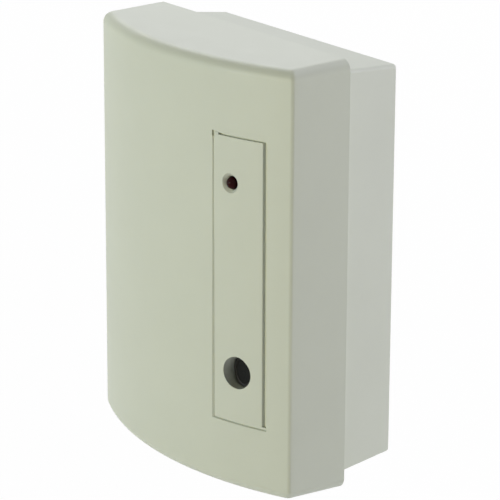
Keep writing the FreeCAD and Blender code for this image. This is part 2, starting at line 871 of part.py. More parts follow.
def add_clip(body, name, sheet, layout, spot, outer, inner, side):
    """A leg that passes through the recess floor and hooks behind it."""
    left, right = spot[:2]
    barb = outer + side * (sheet.fit_clearance + sheet.clip_barb)
    seat = layout.surface(right, layout.recess_back) - sheet.fit_clearance
    tip = seat - sheet.clip_nose
    root_end = layout.surface(right, sheet.strip_thickness / 2)
    leg = [
        (-root_end, inner),
        (-tip, inner),
        (-tip, outer),
        (-seat, barb),
        (-seat, outer),
        (-root_end, outer),
    ]
    extrude(body, name, "YZ_Plane", [leg], left, right - left)


# Indicator and microphone


def indicator(document, sheet, layout):
    """Round indicator lamp on a spacer, with its two leads."""
    lamp = new_body(document, "indicator_led")
    radius = sheet.led_diameter / 2
    flange = sheet.led_flange_diameter / 2
    crown = sheet.led_length - radius
    lens = [
        (0, 0),
        (flange, 0),
        (flange, sheet.led_flange),
        (radius, sheet.led_flange),
        (radius, crown),
        Bow(0, crown, radius),
        (0, sheet.led_length),
    ]
    revolve(lamp, "lens", lens)
    place(lamp, layout.led_across, layout.led_back, layout.led_up)

    spacer = new_body(document, "led_spacer")
    stand = layout.led_back - layout.board_front
    extrude(spacer, "sleeve", "XZ_Plane", [Ring(0, 0, sheet.spacer_diameter)], 0, stand)
    slot_half = (sheet.led_pitch + sheet.spacer_slot) / 2
    slot = rectangle(-slot_half, slot_half, -sheet.spacer_slot / 2, sheet.spacer_slot / 2)
    extrude(spacer, "slot", "XZ_Plane", [slot], 0, stand, cut=True)
    place(spacer, layout.led_across, layout.board_front, layout.led_up)

    leads = new_body(document, "led_leads")
    thick = sheet.led_lead / 2
    wires = [
        rectangle(side * sheet.led_pitch / 2 - thick, side * sheet.led_pitch / 2 + thick, -thick, thick)
        for side in (-1, 1)
    ]
    extrude(leads, "wires", "XZ_Plane", wires, 0, stand)
    place(leads, layout.led_across, layout.board_front, layout.led_up)
    return lamp, spacer, leads


def microphone(document, sheet, layout):
    """Microphone capsule in its rubber boot behind the large window, with a felt disc over its face."""
    stand = layout.microphone_front - layout.board_front
    bore = sheet.capsule_diameter / 2
    nose = sheet.boot_nose_diameter / 2
    outer = sheet.boot_diameter / 2
    felt_back = stand - sheet.felt_setback - sheet.felt_thickness
    seat = felt_back - sheet.capsule_length

    boot = new_body(document, "microphone_boot")
    shoulder = sheet.boot_shoulder
    sleeve = [(0, 0), (outer, 0), (outer, shoulder), (nose, shoulder), (nose, stand), (0, stand)]
    revolve(boot, "sleeve", sleeve)
    revolve(boot, "bore", [(0, seat), (bore, seat), (bore, stand), (0, stand)], cut=True)
    capsule = new_body(document, "microphone_capsule")
    extrude(capsule, "can", "XZ_Plane", [Ring(0, 0, sheet.capsule_diameter)], seat, sheet.capsule_length)
    felt = new_body(document, "microphone_felt")
    extrude(felt, "disc", "XZ_Plane", [Ring(0, 0, sheet.capsule_diameter)], felt_back, sheet.felt_thickness)
    for item in (boot, capsule, felt):
        place(item, layout.microphone_across, layout.board_front, layout.microphone_up)
    return boot, capsule, felt


# Circuit board and what it carries


def circuit_board(document, sheet, layout):
    """Board on the four posts: two pins locate it and two screws hold it."""
    body = new_body(document, "circuit_board")
    half = layout.board_half
    end = layout.board_end
    outline = rectangle(-half, half, -end, end)
    extrude(body, "laminate", "XZ_Plane", [outline], sheet.board_ahead, sheet.board_thickness)
    dress(body, "corners", "Fillet", sheet.board_corner_radius, lambda edge: runs_along(edge, FRONTWARD))
    holes = [
        Ring(layout.post_across * side, layout.post_up * up, sheet.pin_diameter + sheet.fit_clearance)
        for side in (-1, 1)
        for up in (-1, 1)
    ]
    extrude(body, "post_holes", "XZ_Plane", holes, sheet.board_ahead, sheet.board_thickness, cut=True)
    return body


def board_screws(document, sheet, layout):
    """Two pan-head screws that hold the board down on its posts."""
    screws = []
    shank = sheet.pilot_diameter / 2 - sheet.screw_clearance
    head = sheet.screw_head_diameter / 2
    reach = sheet.screw_length
    crown = reach + sheet.screw_head_height
    profile = [(0, 0), (shank, 0), (shank, reach), (head, reach), (head, crown), (0, crown)]
    for side, name in ((-1, "left_screw"), (1, "right_screw")):
        screw = new_body(document, name)
        revolve(screw, name + "_form", profile)
        place(screw, layout.post_across * side, layout.board_front - reach, layout.post_up * side)
        screws.append(screw)
    return gather(document, "board_screws", screws)


def terminals(document, sheet, layout):
    """Screw terminal block along the lower edge, with its screws and wire clamps."""
    span = sheet.terminal_pitch * (sheet.terminal_count - 1)
    first = sheet.terminal_pitch / 2
    depth = sheet.terminal_depth
    rise = sheet.terminal_rise
    block = new_body(document, "terminal_block")
    side = [
        (0, 0),
        (-rise + sheet.terminal_step, 0),
        (-rise, sheet.terminal_step / 2),
        (-rise, depth - sheet.terminal_step / 2),
        (-rise + sheet.terminal_step, depth),
        (0, depth),
    ]
    width = sheet.terminal_pitch * sheet.terminal_count
    extrude(block, "housing", "YZ_Plane", [side], 0, width)
    well_start = rise - sheet.terminal_well_depth
    middle = depth / 2
    well_half = sheet.terminal_well / 2
    well_box = [rectangle(first - well_half, first + well_half, middle - well_half, middle + well_half)]
    well = extrude(block, "screw_well", "XZ_Plane", well_box, well_start, sheet.terminal_well_depth, cut=True)
    hole_half = sheet.wire_hole_width / 2
    hole_low = sheet.clamp_wall * 2
    hole_high = hole_low + sheet.wire_hole_rise
    hole_box = [rectangle(first - hole_half, first + hole_half, -hole_high, -hole_low)]
    hole = extrude(block, "wire_hole", "XY_Plane", hole_box, 0, sheet.wire_hole_depth, cut=True)
    repeat(block, "ways", [well, hole], span, sheet.terminal_count)

    screws = new_body(document, "terminal_screws")
    face = [Ring(first, middle, sheet.terminal_screw_diameter)]
    screw = extrude(screws, "screw", "XZ_Plane", face, well_start, sheet.terminal_screw_length)
    repeat(screws, "row", [screw], span, sheet.terminal_count)

    clamps = new_body(document, "terminal_clamps")
    play = sheet.clamp_clearance
    wall = sheet.clamp_wall
    left = first - hole_half + play
    right = first + hole_half - play
    low = hole_low + play
    high = hole_high - play
    tube = [
        rectangle(left, right, -high, -low),
        rectangle(left + wall, right - wall, -high + wall, -low - wall),
    ]
    clamp_start = sheet.wire_hole_depth - sheet.clamp_length
    clamp = extrude(clamps, "clamp", "XY_Plane", tube, clamp_start, sheet.clamp_length)
    repeat(clamps, "row", [clamp], span, sheet.terminal_count)
    for item in (block, screws, clamps):
        left_end = sheet.terminal_inset - layout.board_half
        place(item, left_end, layout.board_front, sheet.terminal_setback - layout.board_end)
    return block, screws, clamps


def tamper_switch(document, sheet, layout):
    """Switch that tells when the cover comes off: its plunger is held down by the post in the cover."""
    switch = new_body(document, "tamper_switch")
    half = sheet.tamper_side / 2
    extrude(switch, "case", "XZ_Plane", [rectangle(-half, half, -half, half)], 0, sheet.tamper_rise)
    stem = sheet.plunger_diameter / 2
    gap = sheet.plunger_clearance
    collar = sheet.plunger_collar / 2
    roof = sheet.tamper_rise - sheet.tamper_roof
    collar_top = roof - sheet.plunger_held_down
    collar_back = collar_top - sheet.plunger_collar_height
    room_back = collar_back - sheet.plunger_travel - gap
    room = [(0, room_back), (collar + gap, room_back), (collar + gap, roof), (0, roof)]
    bore = [(0, roof), (stem + gap, roof), (stem + gap, sheet.tamper_rise), (0, sheet.tamper_rise)]
    revolve(switch, "plunger_bore", bore, cut=True)
    revolve(switch, "collar_room", room, cut=True)

    plunger = new_body(document, "tamper_plunger")
    tip = sheet.tamper_rise + sheet.plunger_stand
    profile = [(0, collar_back), (collar, collar_back), (collar, collar_top), (stem, collar_top), (stem, tip)]
    revolve(plunger, "stem_and_collar", profile + [(0, tip)])
    for item in (switch, plunger):
        place(item, layout.tamper_across, layout.board_front, sheet.tamper_up)
    return switch, plunger


def alarm_relay(document, sheet, layout):
    """Sealed relay that switches the alarm circuit."""
    body = new_body(document, "alarm_relay")
    outline = rectangle(0, sheet.relay_width, 0, sheet.relay_height)
    extrude(body, "case", "XZ_Plane", [outline], 0, sheet.relay_rise)
    top = -number(sheet.relay_rise)
    dress(body, "case_rounding", "Fillet", sheet.relay_edge, lambda edge: edge.BoundBox.YMax < top + NEAR)
    place(body, sheet.relay_left, layout.board_front, sheet.relay_setback - layout.board_end)
    return body


def dual_row_chip(document, sheet, layout, name):
    """Moulded chip with a row of pins on each long side."""
    pins = getattr(sheet, name + "_pins")
    spacing = sheet.chip_pin_spacing
    length = spacing * pins
    half = sheet.chip_width / 2
    thick = sheet.chip_pin_thickness
    low = sheet.chip_stand
    high = sheet.chip_stand + sheet.chip_rise
    waist = sheet.chip_stand + sheet.chip_rise / 2
    lean = half - thick
    chip = new_body(document, name + "_chip")
    side = [(-low, -lean), (-waist, -half), (-high, -lean), (-high, lean), (-waist, half), (-low, lean)]
    extrude(chip, "case", "YZ_Plane", [side], 0, length)
    notch_back = high - sheet.chip_notch_depth
    notch = [Ring(0, 0, sheet.chip_pin_width)]
    extrude(chip, "index_notch", "XZ_Plane", notch, notch_back, sheet.chip_notch_depth, cut=True)

    legs = new_body(document, name + "_pins")
    foot = (spacing - sheet.chip_pin_width) / 2
    rows = [
        rectangle(foot, foot + sheet.chip_pin_width, half, half + thick),
        rectangle(foot, foot + sheet.chip_pin_width, -half - thick, -half),
    ]
    pair = extrude(legs, "pair", "XZ_Plane", rows, 0, waist)
    repeat(legs, "rows", [pair], spacing * (pins - 1), pins)
    across = getattr(sheet, name + "_across")
    for item in (chip, legs):
        place(item, across - length / 2, layout.board_front, getattr(sheet, name + "_up"))
    return chip, legs


def electrolytic_capacitors(document, sheet, layout):
    """Three can capacitors of the supply and the audio stage."""
    cans = []
    for name in ("large", "middle", "small"):
        can = new_body(document, name + "_capacitor")
        outline = [Ring(0, 0, getattr(sheet, name + "_capacitor_diameter"))]
        rise = getattr(sheet, name + "_capacitor_rise")
        extrude(can, name + "_can", "XZ_Plane", outline, 0, rise)
        across = getattr(sheet, name + "_capacitor_across")
        drop = getattr(sheet, name + "_capacitor_drop")
        place(can, across, layout.board_front, layout.board_end - drop)
        cans.append(can)
    return gather(document, "electrolytic_capacitors", cans)


def crystal_can(document, sheet, layout):
    """Low oblong can of the clock crystal."""
    body = new_body(document, "crystal_can")
    half = sheet.crystal_length / 2
    edge = sheet.crystal_width / 2
    outline = rounded_rectangle(-half, half, -edge, edge, sheet.crystal_corner)
    extrude(body, "can", "XZ_Plane", [outline], 0, sheet.crystal_rise)
    place(body, sheet.crystal_across, layout.board_front, sheet.crystal_up)
    return body


def voltage_regulator(document, sheet, layout):
    """Small regulator with a flat on one side."""
    body = new_body(document, "voltage_regulator")
    radius = sheet.regulator_diameter / 2
    extrude(body, "round_case", "XZ_Plane", [Ring(0, 0, sheet.regulator_diameter)], 0, sheet.regulator_rise)
    beyond = rectangle(-radius, radius, -radius, -sheet.regulator_flat)
    extrude(body, "flat_side", "XZ_Plane", [beyond], 0, sheet.regulator_rise, cut=True)
    place(body, sheet.regulator_across, layout.board_front, sheet.regulator_setback - layout.board_end)
    return body


def jumper_header(document, sheet, layout):
    """Pin header for the settings, its pins, and the links pushed over two pairs."""
    pitch = sheet.header_pitch
    positions = sheet.header_positions
    width = pitch * positions
    header = new_body(document, "jumper_header")
    base = [rectangle(0, width, -pitch, pitch)]
    extrude(header, "strip", "XZ_Plane", base, 0, sheet.header_rise)
    half = sheet.header_pin / 2
    pair = [
        rectangle(pitch / 2 - half, pitch / 2 + half, end * pitch / 2 - half, end * pitch / 2 + half)
        for end in (-1, 1)
    ]
    pins = new_body(document, "jumper_pins")
    pin_length = sheet.header_pin_rise - sheet.header_rise
    posts = extrude(pins, "posts", "XZ_Plane", pair, sheet.header_rise, pin_length)
    repeat(pins, "row", [posts], pitch * (positions - 1), positions)
    links = new_body(document, "jumper_links")
    play = sheet.link_clearance
    linked = [pitch * way + pitch / 2 for way in (0, 2)]
    shell_half = pitch / 2 - play
    shells = [
        rectangle(middle - shell_half, middle + shell_half, play - pitch, pitch - play) for middle in linked
    ]
    socket_half = half + play / 2
    sockets = [
        rectangle(
            middle - socket_half,
            middle + socket_half,
            end * pitch / 2 - socket_half,
            end * pitch / 2 + socket_half,
        )
        for middle in linked
        for end in (-1, 1)
    ]
    extrude(links, "shells", "XZ_Plane", shells, sheet.header_rise, sheet.link_rise)
    extrude(links, "sockets", "XZ_Plane", sockets, sheet.header_rise, sheet.link_rise, cut=True)
    for item in (header, pins, links):
        left_end = sheet.header_across - width / 2
        place(item, left_end, layout.board_front, layout.board_end - sheet.header_drop)
    return header, pins, links


def small_parts_row(document, sheet, layout, name, prefix, up):
    """A row of equal surface-mounted parts at a height on the board."""
    count = getattr(sheet, prefix + "_count")
    spacing = getattr(sheet, prefix + "_spacing")
    length = getattr(sheet, prefix + "_length")
    width = getattr(sheet, prefix + "_width")
    rise = getattr(sheet, prefix + "_rise")
    row = new_body(document, name)
    outline = rectangle(-length / 2, length / 2, -width / 2, width / 2)
    first = extrude(row, prefix + "_case", "XZ_Plane", [outline], 0, rise)
    repeat(row, prefix + "_row", [first], spacing * (count - 1), count)
    place(row, getattr(sheet, prefix + "_left"), layout.board_front, up)
    return row


def supply_diodes(document, sheet, layout):
    """Two diodes that protect the supply input."""
    pair = new_body(document, "supply_diodes")
    half = sheet.diode_width / 2
    outline = rectangle(-sheet.diode_length / 2, sheet.diode_length / 2, -half, half)
    first = extrude(pair, "case", "XZ_Plane", [outline], 0, sheet.diode_rise)
    row = pair.newObject("PartDesign::LinearPattern", "pair_row")
    row.Originals = [first]
    row.Direction = (origin_feature(pair, "Z_Axis"), [""])
    bind(row, "Length", sheet.diode_spacing)
    row.Occurrences = 2
    pair.Tip = row
    place(pair, sheet.diode_across, layout.board_front, sheet.diode_setback - layout.board_end)
    return pair


def export(document, nodes):
    """Checks every object of the document and writes one file for each node."""
    document.recompute()
    faults = [item.Name for item in document.Objects if {"Invalid", "Error"} & set(item.State)]
    if faults:
        raise RuntimeError("failed objects: " + ", ".join(faults))
    os.makedirs("parts", exist_ok=True)
    for node in nodes:
        shape = node.Shape
        if shape.isNull() or not shape.isValid() or not shape.Solids:
            raise RuntimeError(node.Label + " has no valid solid")
    for node in nodes:
        node.Shape.exportStep(f"parts/{node.Label}.step")
        print(f"{node.Label}: {len(node.Shape.Solids)} solid(s), {node.Shape.Volume:.1f} mm3")


def main():
    document = FreeCAD.newDocument("glass_break_sensor")
    sheet = Sheet(document, SIZES)
    document.recompute()
    layout = Layout(sheet)
    ceramic_up = sheet.ceramic_setback - layout.board_end
    nodes = [
        rear_base(document, sheet, layout),
        front_cover(document, sheet, layout),
        front_strip(document, sheet, layout),
        *indicator(document, sheet, layout),
        *microphone(document, sheet, layout),
        circuit_board(document, sheet, layout),
        board_screws(document, sheet, layout),
        *terminals(document, sheet, layout),
        *tamper_switch(document, sheet, layout),
        alarm_relay(document, sheet, layout),
        *dual_row_chip(document, sheet, layout, "processor"),
        *dual_row_chip(document, sheet, layout, "amplifier"),
        electrolytic_capacitors(document, sheet, layout),
        crystal_can(document, sheet, layout),
        voltage_regulator(document, sheet, layout),
        *jumper_header(document, sheet, layout),
        small_parts_row(document, sheet, layout, "chip_resistors", "resistor", sheet.resistor_up),
        small_parts_row(document, sheet, layout, "chip_capacitors", "ceramic", ceramic_up),
        supply_diodes(document, sheet, layout),
    ]
    export(document, nodes)


main()
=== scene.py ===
# %% [markdown]
# # A wall-mounted glass break sensor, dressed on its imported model
# The solids, the sizes and the one moving part come from a packed mechanical model, which this script loads as a
# fixed frame. The pieces that an eye can see are modelled again here with fine edges, and the electronics inside keep
# their solids and get real finishes.

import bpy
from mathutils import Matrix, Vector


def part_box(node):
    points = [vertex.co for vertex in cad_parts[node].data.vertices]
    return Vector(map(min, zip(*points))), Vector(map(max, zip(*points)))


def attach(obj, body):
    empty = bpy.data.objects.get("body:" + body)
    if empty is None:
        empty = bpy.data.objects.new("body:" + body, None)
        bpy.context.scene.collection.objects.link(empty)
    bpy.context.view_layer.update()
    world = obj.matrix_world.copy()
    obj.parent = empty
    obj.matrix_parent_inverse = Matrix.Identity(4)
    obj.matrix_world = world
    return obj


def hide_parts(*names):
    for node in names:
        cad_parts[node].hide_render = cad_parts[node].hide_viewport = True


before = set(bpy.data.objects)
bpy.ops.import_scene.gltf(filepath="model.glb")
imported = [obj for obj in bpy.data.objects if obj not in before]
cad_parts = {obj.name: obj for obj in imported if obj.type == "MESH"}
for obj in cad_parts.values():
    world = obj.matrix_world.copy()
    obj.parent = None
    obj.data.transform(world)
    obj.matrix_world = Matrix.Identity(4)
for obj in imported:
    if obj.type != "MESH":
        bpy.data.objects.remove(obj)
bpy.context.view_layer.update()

# %% [markdown]
# ## Tools and units
# Blender works in metres and the part was drawn in millimetres, so sizes below are written as a number of millimetres
# times `MM`. The frame's axes are kept: X to the right, Z up, the wall at Y = 0 and the front towards -Y. Lengths that
# differ by less than `NEAR` count as equal, and every cutter reaches `BEYOND` the shape that it cuts.

# %% Modules and the unit
import math

import bmesh
import bpy
from mathutils import Matrix, Quaternion, Vector, noise

MM = 0.001
NEAR = 0.01 * MM
BEYOND = 1.0 * MM
X, Y, Z = 0, 1, 2
scene = bpy.context.scene
scene.view_settings.view_transform = "Standard"

# %% [markdown]
# ## The camera
# The photograph was taken with a long lens from the right of the front and a little above: the side, the top and the
# front all show, and the vertical edges stay nearly parallel. The angles around a point inside the part and the
# distance were found by matching the corners of the cover and the base to the picture.

# %% Camera at the photograph's angle
CAMERA_AZIMUTH = math.radians(53.897)
CAMERA_ELEVATION = math.radians(17.459)
CAMERA_ROLL = math.radians(0.272)
CAMERA_DISTANCE = 697.2 * MM
CAMERA_TARGET = Vector((3.5, -20.0, -1.493)) * MM
FOCAL_LENGTH_PIXELS = 2796.6
IMAGE_PIXELS = 500
SENSOR_WIDTH = 36.0
CLIP_START = 10 * MM


def add_camera():
    """A camera that looks at the target from its azimuth and elevation, with a slight roll."""
    backward = Vector((
        math.sin(CAMERA_AZIMUTH) * math.cos(CAMERA_ELEVATION),
        -math.cos(CAMERA_AZIMUTH) * math.cos(CAMERA_ELEVATION),
        math.sin(CAMERA_ELEVATION),
    ))
    data = bpy.data.cameras.new("camera")
    data.sensor_width = SENSOR_WIDTH
    data.lens = FOCAL_LENGTH_PIXELS * SENSOR_WIDTH / IMAGE_PIXELS
    data.clip_start = CLIP_START
    camera = bpy.data.objects.new("camera", data)
    camera.location = CAMERA_TARGET + backward * CAMERA_DISTANCE
    camera.rotation_mode = "QUATERNION"
    level = (-backward).to_track_quat("-Z", "Y")
    camera.rotation_quaternion = level @ Quaternion((0, 0, 1), CAMERA_ROLL)
    scene.collection.objects.link(camera)
    return camera


scene.camera = add_camera()
print("camera at", [round(value / MM, 1) for value in scene.camera.location], "mm")

# %% [markdown]
# ## Finishes in three layers
# Each finish is a small network around one Principled shader. A noise that reads Object coordinates has a real size
# in metres, so the same grain fits a large cover and a small clip. Nearly every finish has the same three layers: two
# close tones, a roughness that varies and a fine relief. One function builds them, and each material only says how
# large and how strong its layers are.

# %% Helpers for materials
TONE_STOPS = (0.35, 0.65)


def new_finish(name):
    """An empty finish: the material, its node tree and its Principled shader."""
    finish = bpy.data.materials.new(name)
    finish.use_nodes = True
    return finish, finish.node_tree, finish.node_tree.nodes["Principled BSDF"]


def feed(node, inputs):
    """Sets a node's inputs, or links them where the value is another node's output."""
    for key, value in inputs.items():
        if isinstance(value, bpy.types.NodeSocket):
            node.id_data.links.new(value, node.inputs[key])
        else:
            node.inputs[key].default_value = value


def add_node(tree, kind, inputs):
    """A new node with its inputs fed."""
    node = tree.nodes.new("ShaderNode" + kind)
    feed(node, inputs)
    return node


def calculated(tree, operation, first, second):
    """The result of a calculation with two values."""
    node = tree.nodes.new("ShaderNodeMath")
    node.operation = operation
    feed(node, {0: first, 1: second})
    return node.outputs[0]


def object_place(tree):
    """The output with the place on the object, in metres."""
    return tree.nodes.new("ShaderNodeTexCoord").outputs["Object"]


def grain(tree, size, detail=3.0, roughness=0.5, distortion=0.0, stretch=None):
    """Noise whose features are about as large as the size given, squeezed along the axes of a stretch."""
    place = object_place(tree)
    if stretch:
        place = add_node(tree, "Mapping", {"Vector": place, "Scale": stretch}).outputs["Vector"]
    cloud = add_node(tree, "TexNoise", {
        "Vector": place, "Scale": 1 / size, "Detail": detail, "Roughness": roughness, "Distortion": distortion,
    })
    return cloud.outputs["Fac"]


def two_tones(tree, value, dark, light):
    """A ramp from a dark to a light tone, driven by a value."""
    ramp = add_node(tree, "ValToRGB", {"Fac": value})
    for stop, position, tone in zip(ramp.color_ramp.elements, TONE_STOPS, (dark, light)):
        stop.position = position
        stop.color = (*tone, 1)
    return ramp.outputs["Color"]


def between(tree, value, lowest, highest):
    """Maps a value from 0...1 to another range, such as a roughness that varies."""
    return add_node(tree, "MapRange", {"Value": value, "To Min": lowest, "To Max": highest}).outputs["Result"]


def relief(tree, value, height):
    """The normal of a bump with a real height."""
    return add_node(tree, "Bump", {"Height": value, "Strength": 1.0, "Distance": height}).outputs["Normal"]


def layered_finish(name, colour, dark_share, roughness, height, tone, patches=None, bumps=None, values=()):
    """A finish in three layers of noise. Without settings of their own, the later layers share the first noise."""
    finish, tree, shader = new_finish(name)
    tone, patches, bumps = (grain(tree, **layer) for layer in (tone, patches or tone, bumps or tone))
    darker = tuple(channel * dark_share for channel in colour)
    feed(shader, {
        "Base Color": two_tones(tree, tone, darker, colour),
        "Roughness": between(tree, patches, *roughness),
        "Normal": relief(tree, bumps, height),
        **dict(values),
    })
    return finish


# %% [markdown]
# ## Moulded plastic
# The casing is off-white ABS with a very fine matt mould texture. The tone changes by one or two percent over some
# twenty millimetres, from the way the melt flowed, the roughness over a few millimetres, and a spark-eroded grain of
# about 0.15 mm is the bump. The strip is the same plastic with a slightly smoother surface.

# %% Off-white casing plastic
CASING_COLOUR = (0.610, 0.635, 0.535)


def moulded_plastic(name, colour, roughness, height=0.004 * MM):
    """Plastic with a mould texture."""
    return layered_finish(
        name, colour, dark_share=0.985, roughness=(roughness - 0.05, roughness + 0.05), height=height,
        tone={"size": 22 * MM, "detail": 2.0}, patches={"size": 4 * MM, "detail": 4.0},
        bumps={"size": 0.15 * MM, "detail": 2.0}, values={"Specular IOR Level": 0.4},
    )


cover_plastic = moulded_plastic("cover_plastic", CASING_COLOUR, 0.48)
base_plastic = moulded_plastic("base_plastic", CASING_COLOUR, 0.52)
strip_plastic = moulded_plastic("strip_plastic", CASING_COLOUR, 0.42, height=0.003 * MM)
print("casing finishes:", cover_plastic.name, base_plastic.name, strip_plastic.name)

# %% [markdown]
# ## From a bmesh to a piece
# Every new piece goes through one function.

# %% Turning a bmesh into a piece of the object
SMOOTH_ANGLE = math.radians(32)
MERGE_DISTANCE = 0.0005 * MM
NORMAL_WEIGHT = 100


def make_mesh_object(bm, name):
    """Writes the bmesh to a new object, with outward normals."""
    bmesh.ops.remove_doubles(bm, verts=bm.verts, dist=MERGE_DISTANCE)
    bmesh.ops.recalc_face_normals(bm, faces=bm.faces)
    mesh = bpy.data.meshes.new(name)
    bm.to_mesh(mesh)
    bm.free()
    piece = bpy.data.objects.new(name, mesh)
    scene.collection.objects.link(piece)
    return piece


def dress(piece, finish, body, nodes):
    piece.data.materials.clear()
    piece.data.materials.append(finish)
    piece.data.shade_smooth()
    piece.data.set_sharp_from_angle(angle=SMOOTH_ANGLE)
    weighted = piece.modifiers.new("weighted_normals", "WEIGHTED_NORMAL")
    weighted.keep_sharp = True
    weighted.weight = NORMAL_WEIGHT
    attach(piece, body)
    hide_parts(*nodes)
    size = Vector(piece.bound_box[6]) - Vector(piece.bound_box[0])
    print(piece.name, len(piece.data.polygons), "faces,", [round(value / MM, 2) for value in size], "mm")


def carve(piece, cutters, operation="DIFFERENCE"):
    """Cuts a list of bmeshes out of a piece, one after the other, and deletes them."""
    for tool in [make_mesh_object(cutter, "cutter") for cutter in cutters]:
        cut = piece.modifiers.new("cut", "BOOLEAN")
        cut.operation = operation
        cut.solver = "EXACT"
        cut.object = tool
        bpy.context.view_layer.update()
        evaluated = piece.evaluated_get(bpy.context.evaluated_depsgraph_get())
        mesh = bpy.data.meshes.new_from_object(evaluated)
        piece.modifiers.clear()
        piece.data = mesh
        bpy.data.objects.remove(tool)


# %% [markdown]
# ## Sheets on the bow
# The front of the cover, the floor of its recess and the strip all lie on arcs around one upright axis behind the
# wall. A spin makes them: one upright edge, turned about the axis, sweeps a sheet with evenly spaced columns. A second
# row of vertices behind it, at its own depth for every place across, turns the sheet into a closed solid. The line
# where cover and base part stands 0.45 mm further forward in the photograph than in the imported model, so the rim of
# both is moved by as much.

# %% The bow and its sheets
cover_low, cover_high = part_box("front_cover")
COVER_HALF = cover_high.x
RIM_END = cover_high.z
PARTING_SHIFT = 0.45 * MM
RIM_Y = cover_high.y - PARTING_SHIFT
FRONT_Y = cover_low.y
BOW = 9.0 * MM
BOW_RADIUS = (COVER_HALF ** 2 + BOW ** 2) / (2 * BOW)
BOW_AXIS_Y = FRONT_Y + BOW_RADIUS


def bow_y(across, inward=0.0):
    """Y of the bowed front at a place across, or of a surface parallel to it and further in."""
    return BOW_AXIS_Y - math.sqrt((BOW_RADIUS - inward) ** 2 - across ** 2)


def verts_in(parts):
    """The vertices among the parts that an operator returns."""
    return [part for part in parts if isinstance(part, bmesh.types.BMVert)]


def close_to(value, target, tolerance=NEAR):
    """True where two lengths are nearly equal."""
    return abs(value - target) < tolerance


def lies_at(part, axis, place):
    """True where all vertices of an edge or a face have the same place along an axis."""
    return all(close_to(vert.co[axis], place) for vert in part.verts)


def on_bow(part, inward):
    """True for an edge or a face of the bowed surface that lies so far in."""
    return all(close_to(vert.co.y, bow_y(vert.co.x, inward), 2 * NEAR) for vert in part.verts)


def bowed_sheet(left, right, low, high, inward, columns):
    """An upright sheet on the bow, swept by spinning one edge about the bow's axis."""
    bm = bmesh.new()
    start = bow_y(left, inward)
    ends = [bm.verts.new((left, start, height)) for height in (low, high)]
    edge = bm.edges.new(ends)
    radius = BOW_RADIUS - inward
    angle = math.asin(right / radius) - math.asin(left / radius)
    spin(bm, [*ends, edge], (0, BOW_AXIS_Y, 0), (0, 0, 1), angle, columns)
    return bm


def back_with(bm, depth_of):
    """Extrudes the whole sheet and moves its copy to the depth that a function gives."""
    for vert in verts_in(bmesh.ops.extrude_face_region(bm, geom=bm.faces[:])["geom"]):
        vert.co.y = depth_of(vert.co.x)
    bmesh.ops.recalc_face_normals(bm, faces=bm.faces)


def bevel(bm, edges, offset, segments):
    """Rounds the edges with an arc."""
    bmesh.ops.bevel(
        bm, geom=edges, offset=offset, offset_type="OFFSET", segments=segments, profile=0.5, affect="EDGES",
        material=-1, clamp_overlap=False,
    )


def spin(bm, parts, centre, axis, angle, steps, merge=False):
    """Sweeps parts about an axis and returns their last copy."""
    return bmesh.ops.spin(
        bm, geom=parts, cent=centre, axis=axis, angle=angle, steps=steps, use_merge=merge
    )["geom_last"]


def knife(bm, point, normal, geometry=None, **cleared):
    """Cuts through a plane, and clears one of its sides where that is asked for."""
    if geometry is None:
        geometry = bm.verts[:] + bm.edges[:] + bm.faces[:]
    bmesh.ops.bisect_plane(bm, geom=geometry, dist=0.1 * NEAR, plane_co=point, plane_no=normal, **cleared)


print("bow radius", round(BOW_RADIUS / MM, 2), "mm, axis", round(BOW_AXIS_Y / MM, 2), "mm behind the wall plane")

# %% [markdown]
# ## The cover's outside
# The real cover is one moulding: a front bowed about an upright axis, ends that roll over in a 2.8 mm radius, and
# much tighter upright edges at the sides. One upright profile, a line with a quarter arc at each end, makes all of
# it. Spun about the bow's axis it sweeps the front with its rolled ends, and extruded straight back it makes a side.
# The two sweeps are cut by the same mitre plane, as a joiner cuts a picture frame, and welded. A small bevel then
# runs along the mitre, from the upright edge up into the roll.

# %% The upright profile and the two sweeps
COLUMNS = 96
END_ROUNDING = 2.8 * MM
SIDE_ROUNDING = 1.1 * MM
DRAFT = 0.45 * MM
FRONT_END = RIM_END - DRAFT
SIDE_FRONT_Y = FRONT_Y + BOW
WAIST_Y = SIDE_FRONT_Y + END_ROUNDING
ROLL_SEGMENTS = 10
SIDE_SEGMENTS = 5
SMALL_SEGMENTS = 3
SIDE_COLUMN = 3.6 * MM
OVERRUN = 1.5 * MM
WELD = 0.15 * MM
BOW_SLOPE = math.asin(COVER_HALF / BOW_RADIUS)
MITRE_SLOPE = (1 - math.sin(BOW_SLOPE)) / math.cos(BOW_SLOPE)
MITRE_REACH = 1.1 * END_ROUNDING


def rolled_profile():
    """An upright line at the origin whose two ends roll over towards +Y."""
    bm = bmesh.new()
    turn_at = FRONT_END - END_ROUNDING
    for side in (-1, 1):
        corner = bm.verts.new((0, 0, side * turn_at))
        hub = (0, END_ROUNDING, side * turn_at)
        spin(bm, [corner], hub, (1, 0, 0), -side * math.pi / 2, ROLL_SEGMENTS)
    bm.verts.ensure_lookup_table()
    middle = [vert for vert in bm.verts if close_to(vert.co.y, 0) and close_to(abs(vert.co.z), turn_at)]
    bm.edges.new(middle)
    return bm


def trim(bm, side, keep_front):
    """Cuts a sweep off at the mitre plane of one side."""
    point = (side * COVER_HALF, SIDE_FRONT_Y, 0)
    knife(bm, point, Vector((side * MITRE_SLOPE, 1, 0)), clear_outer=keep_front, clear_inner=not keep_front)


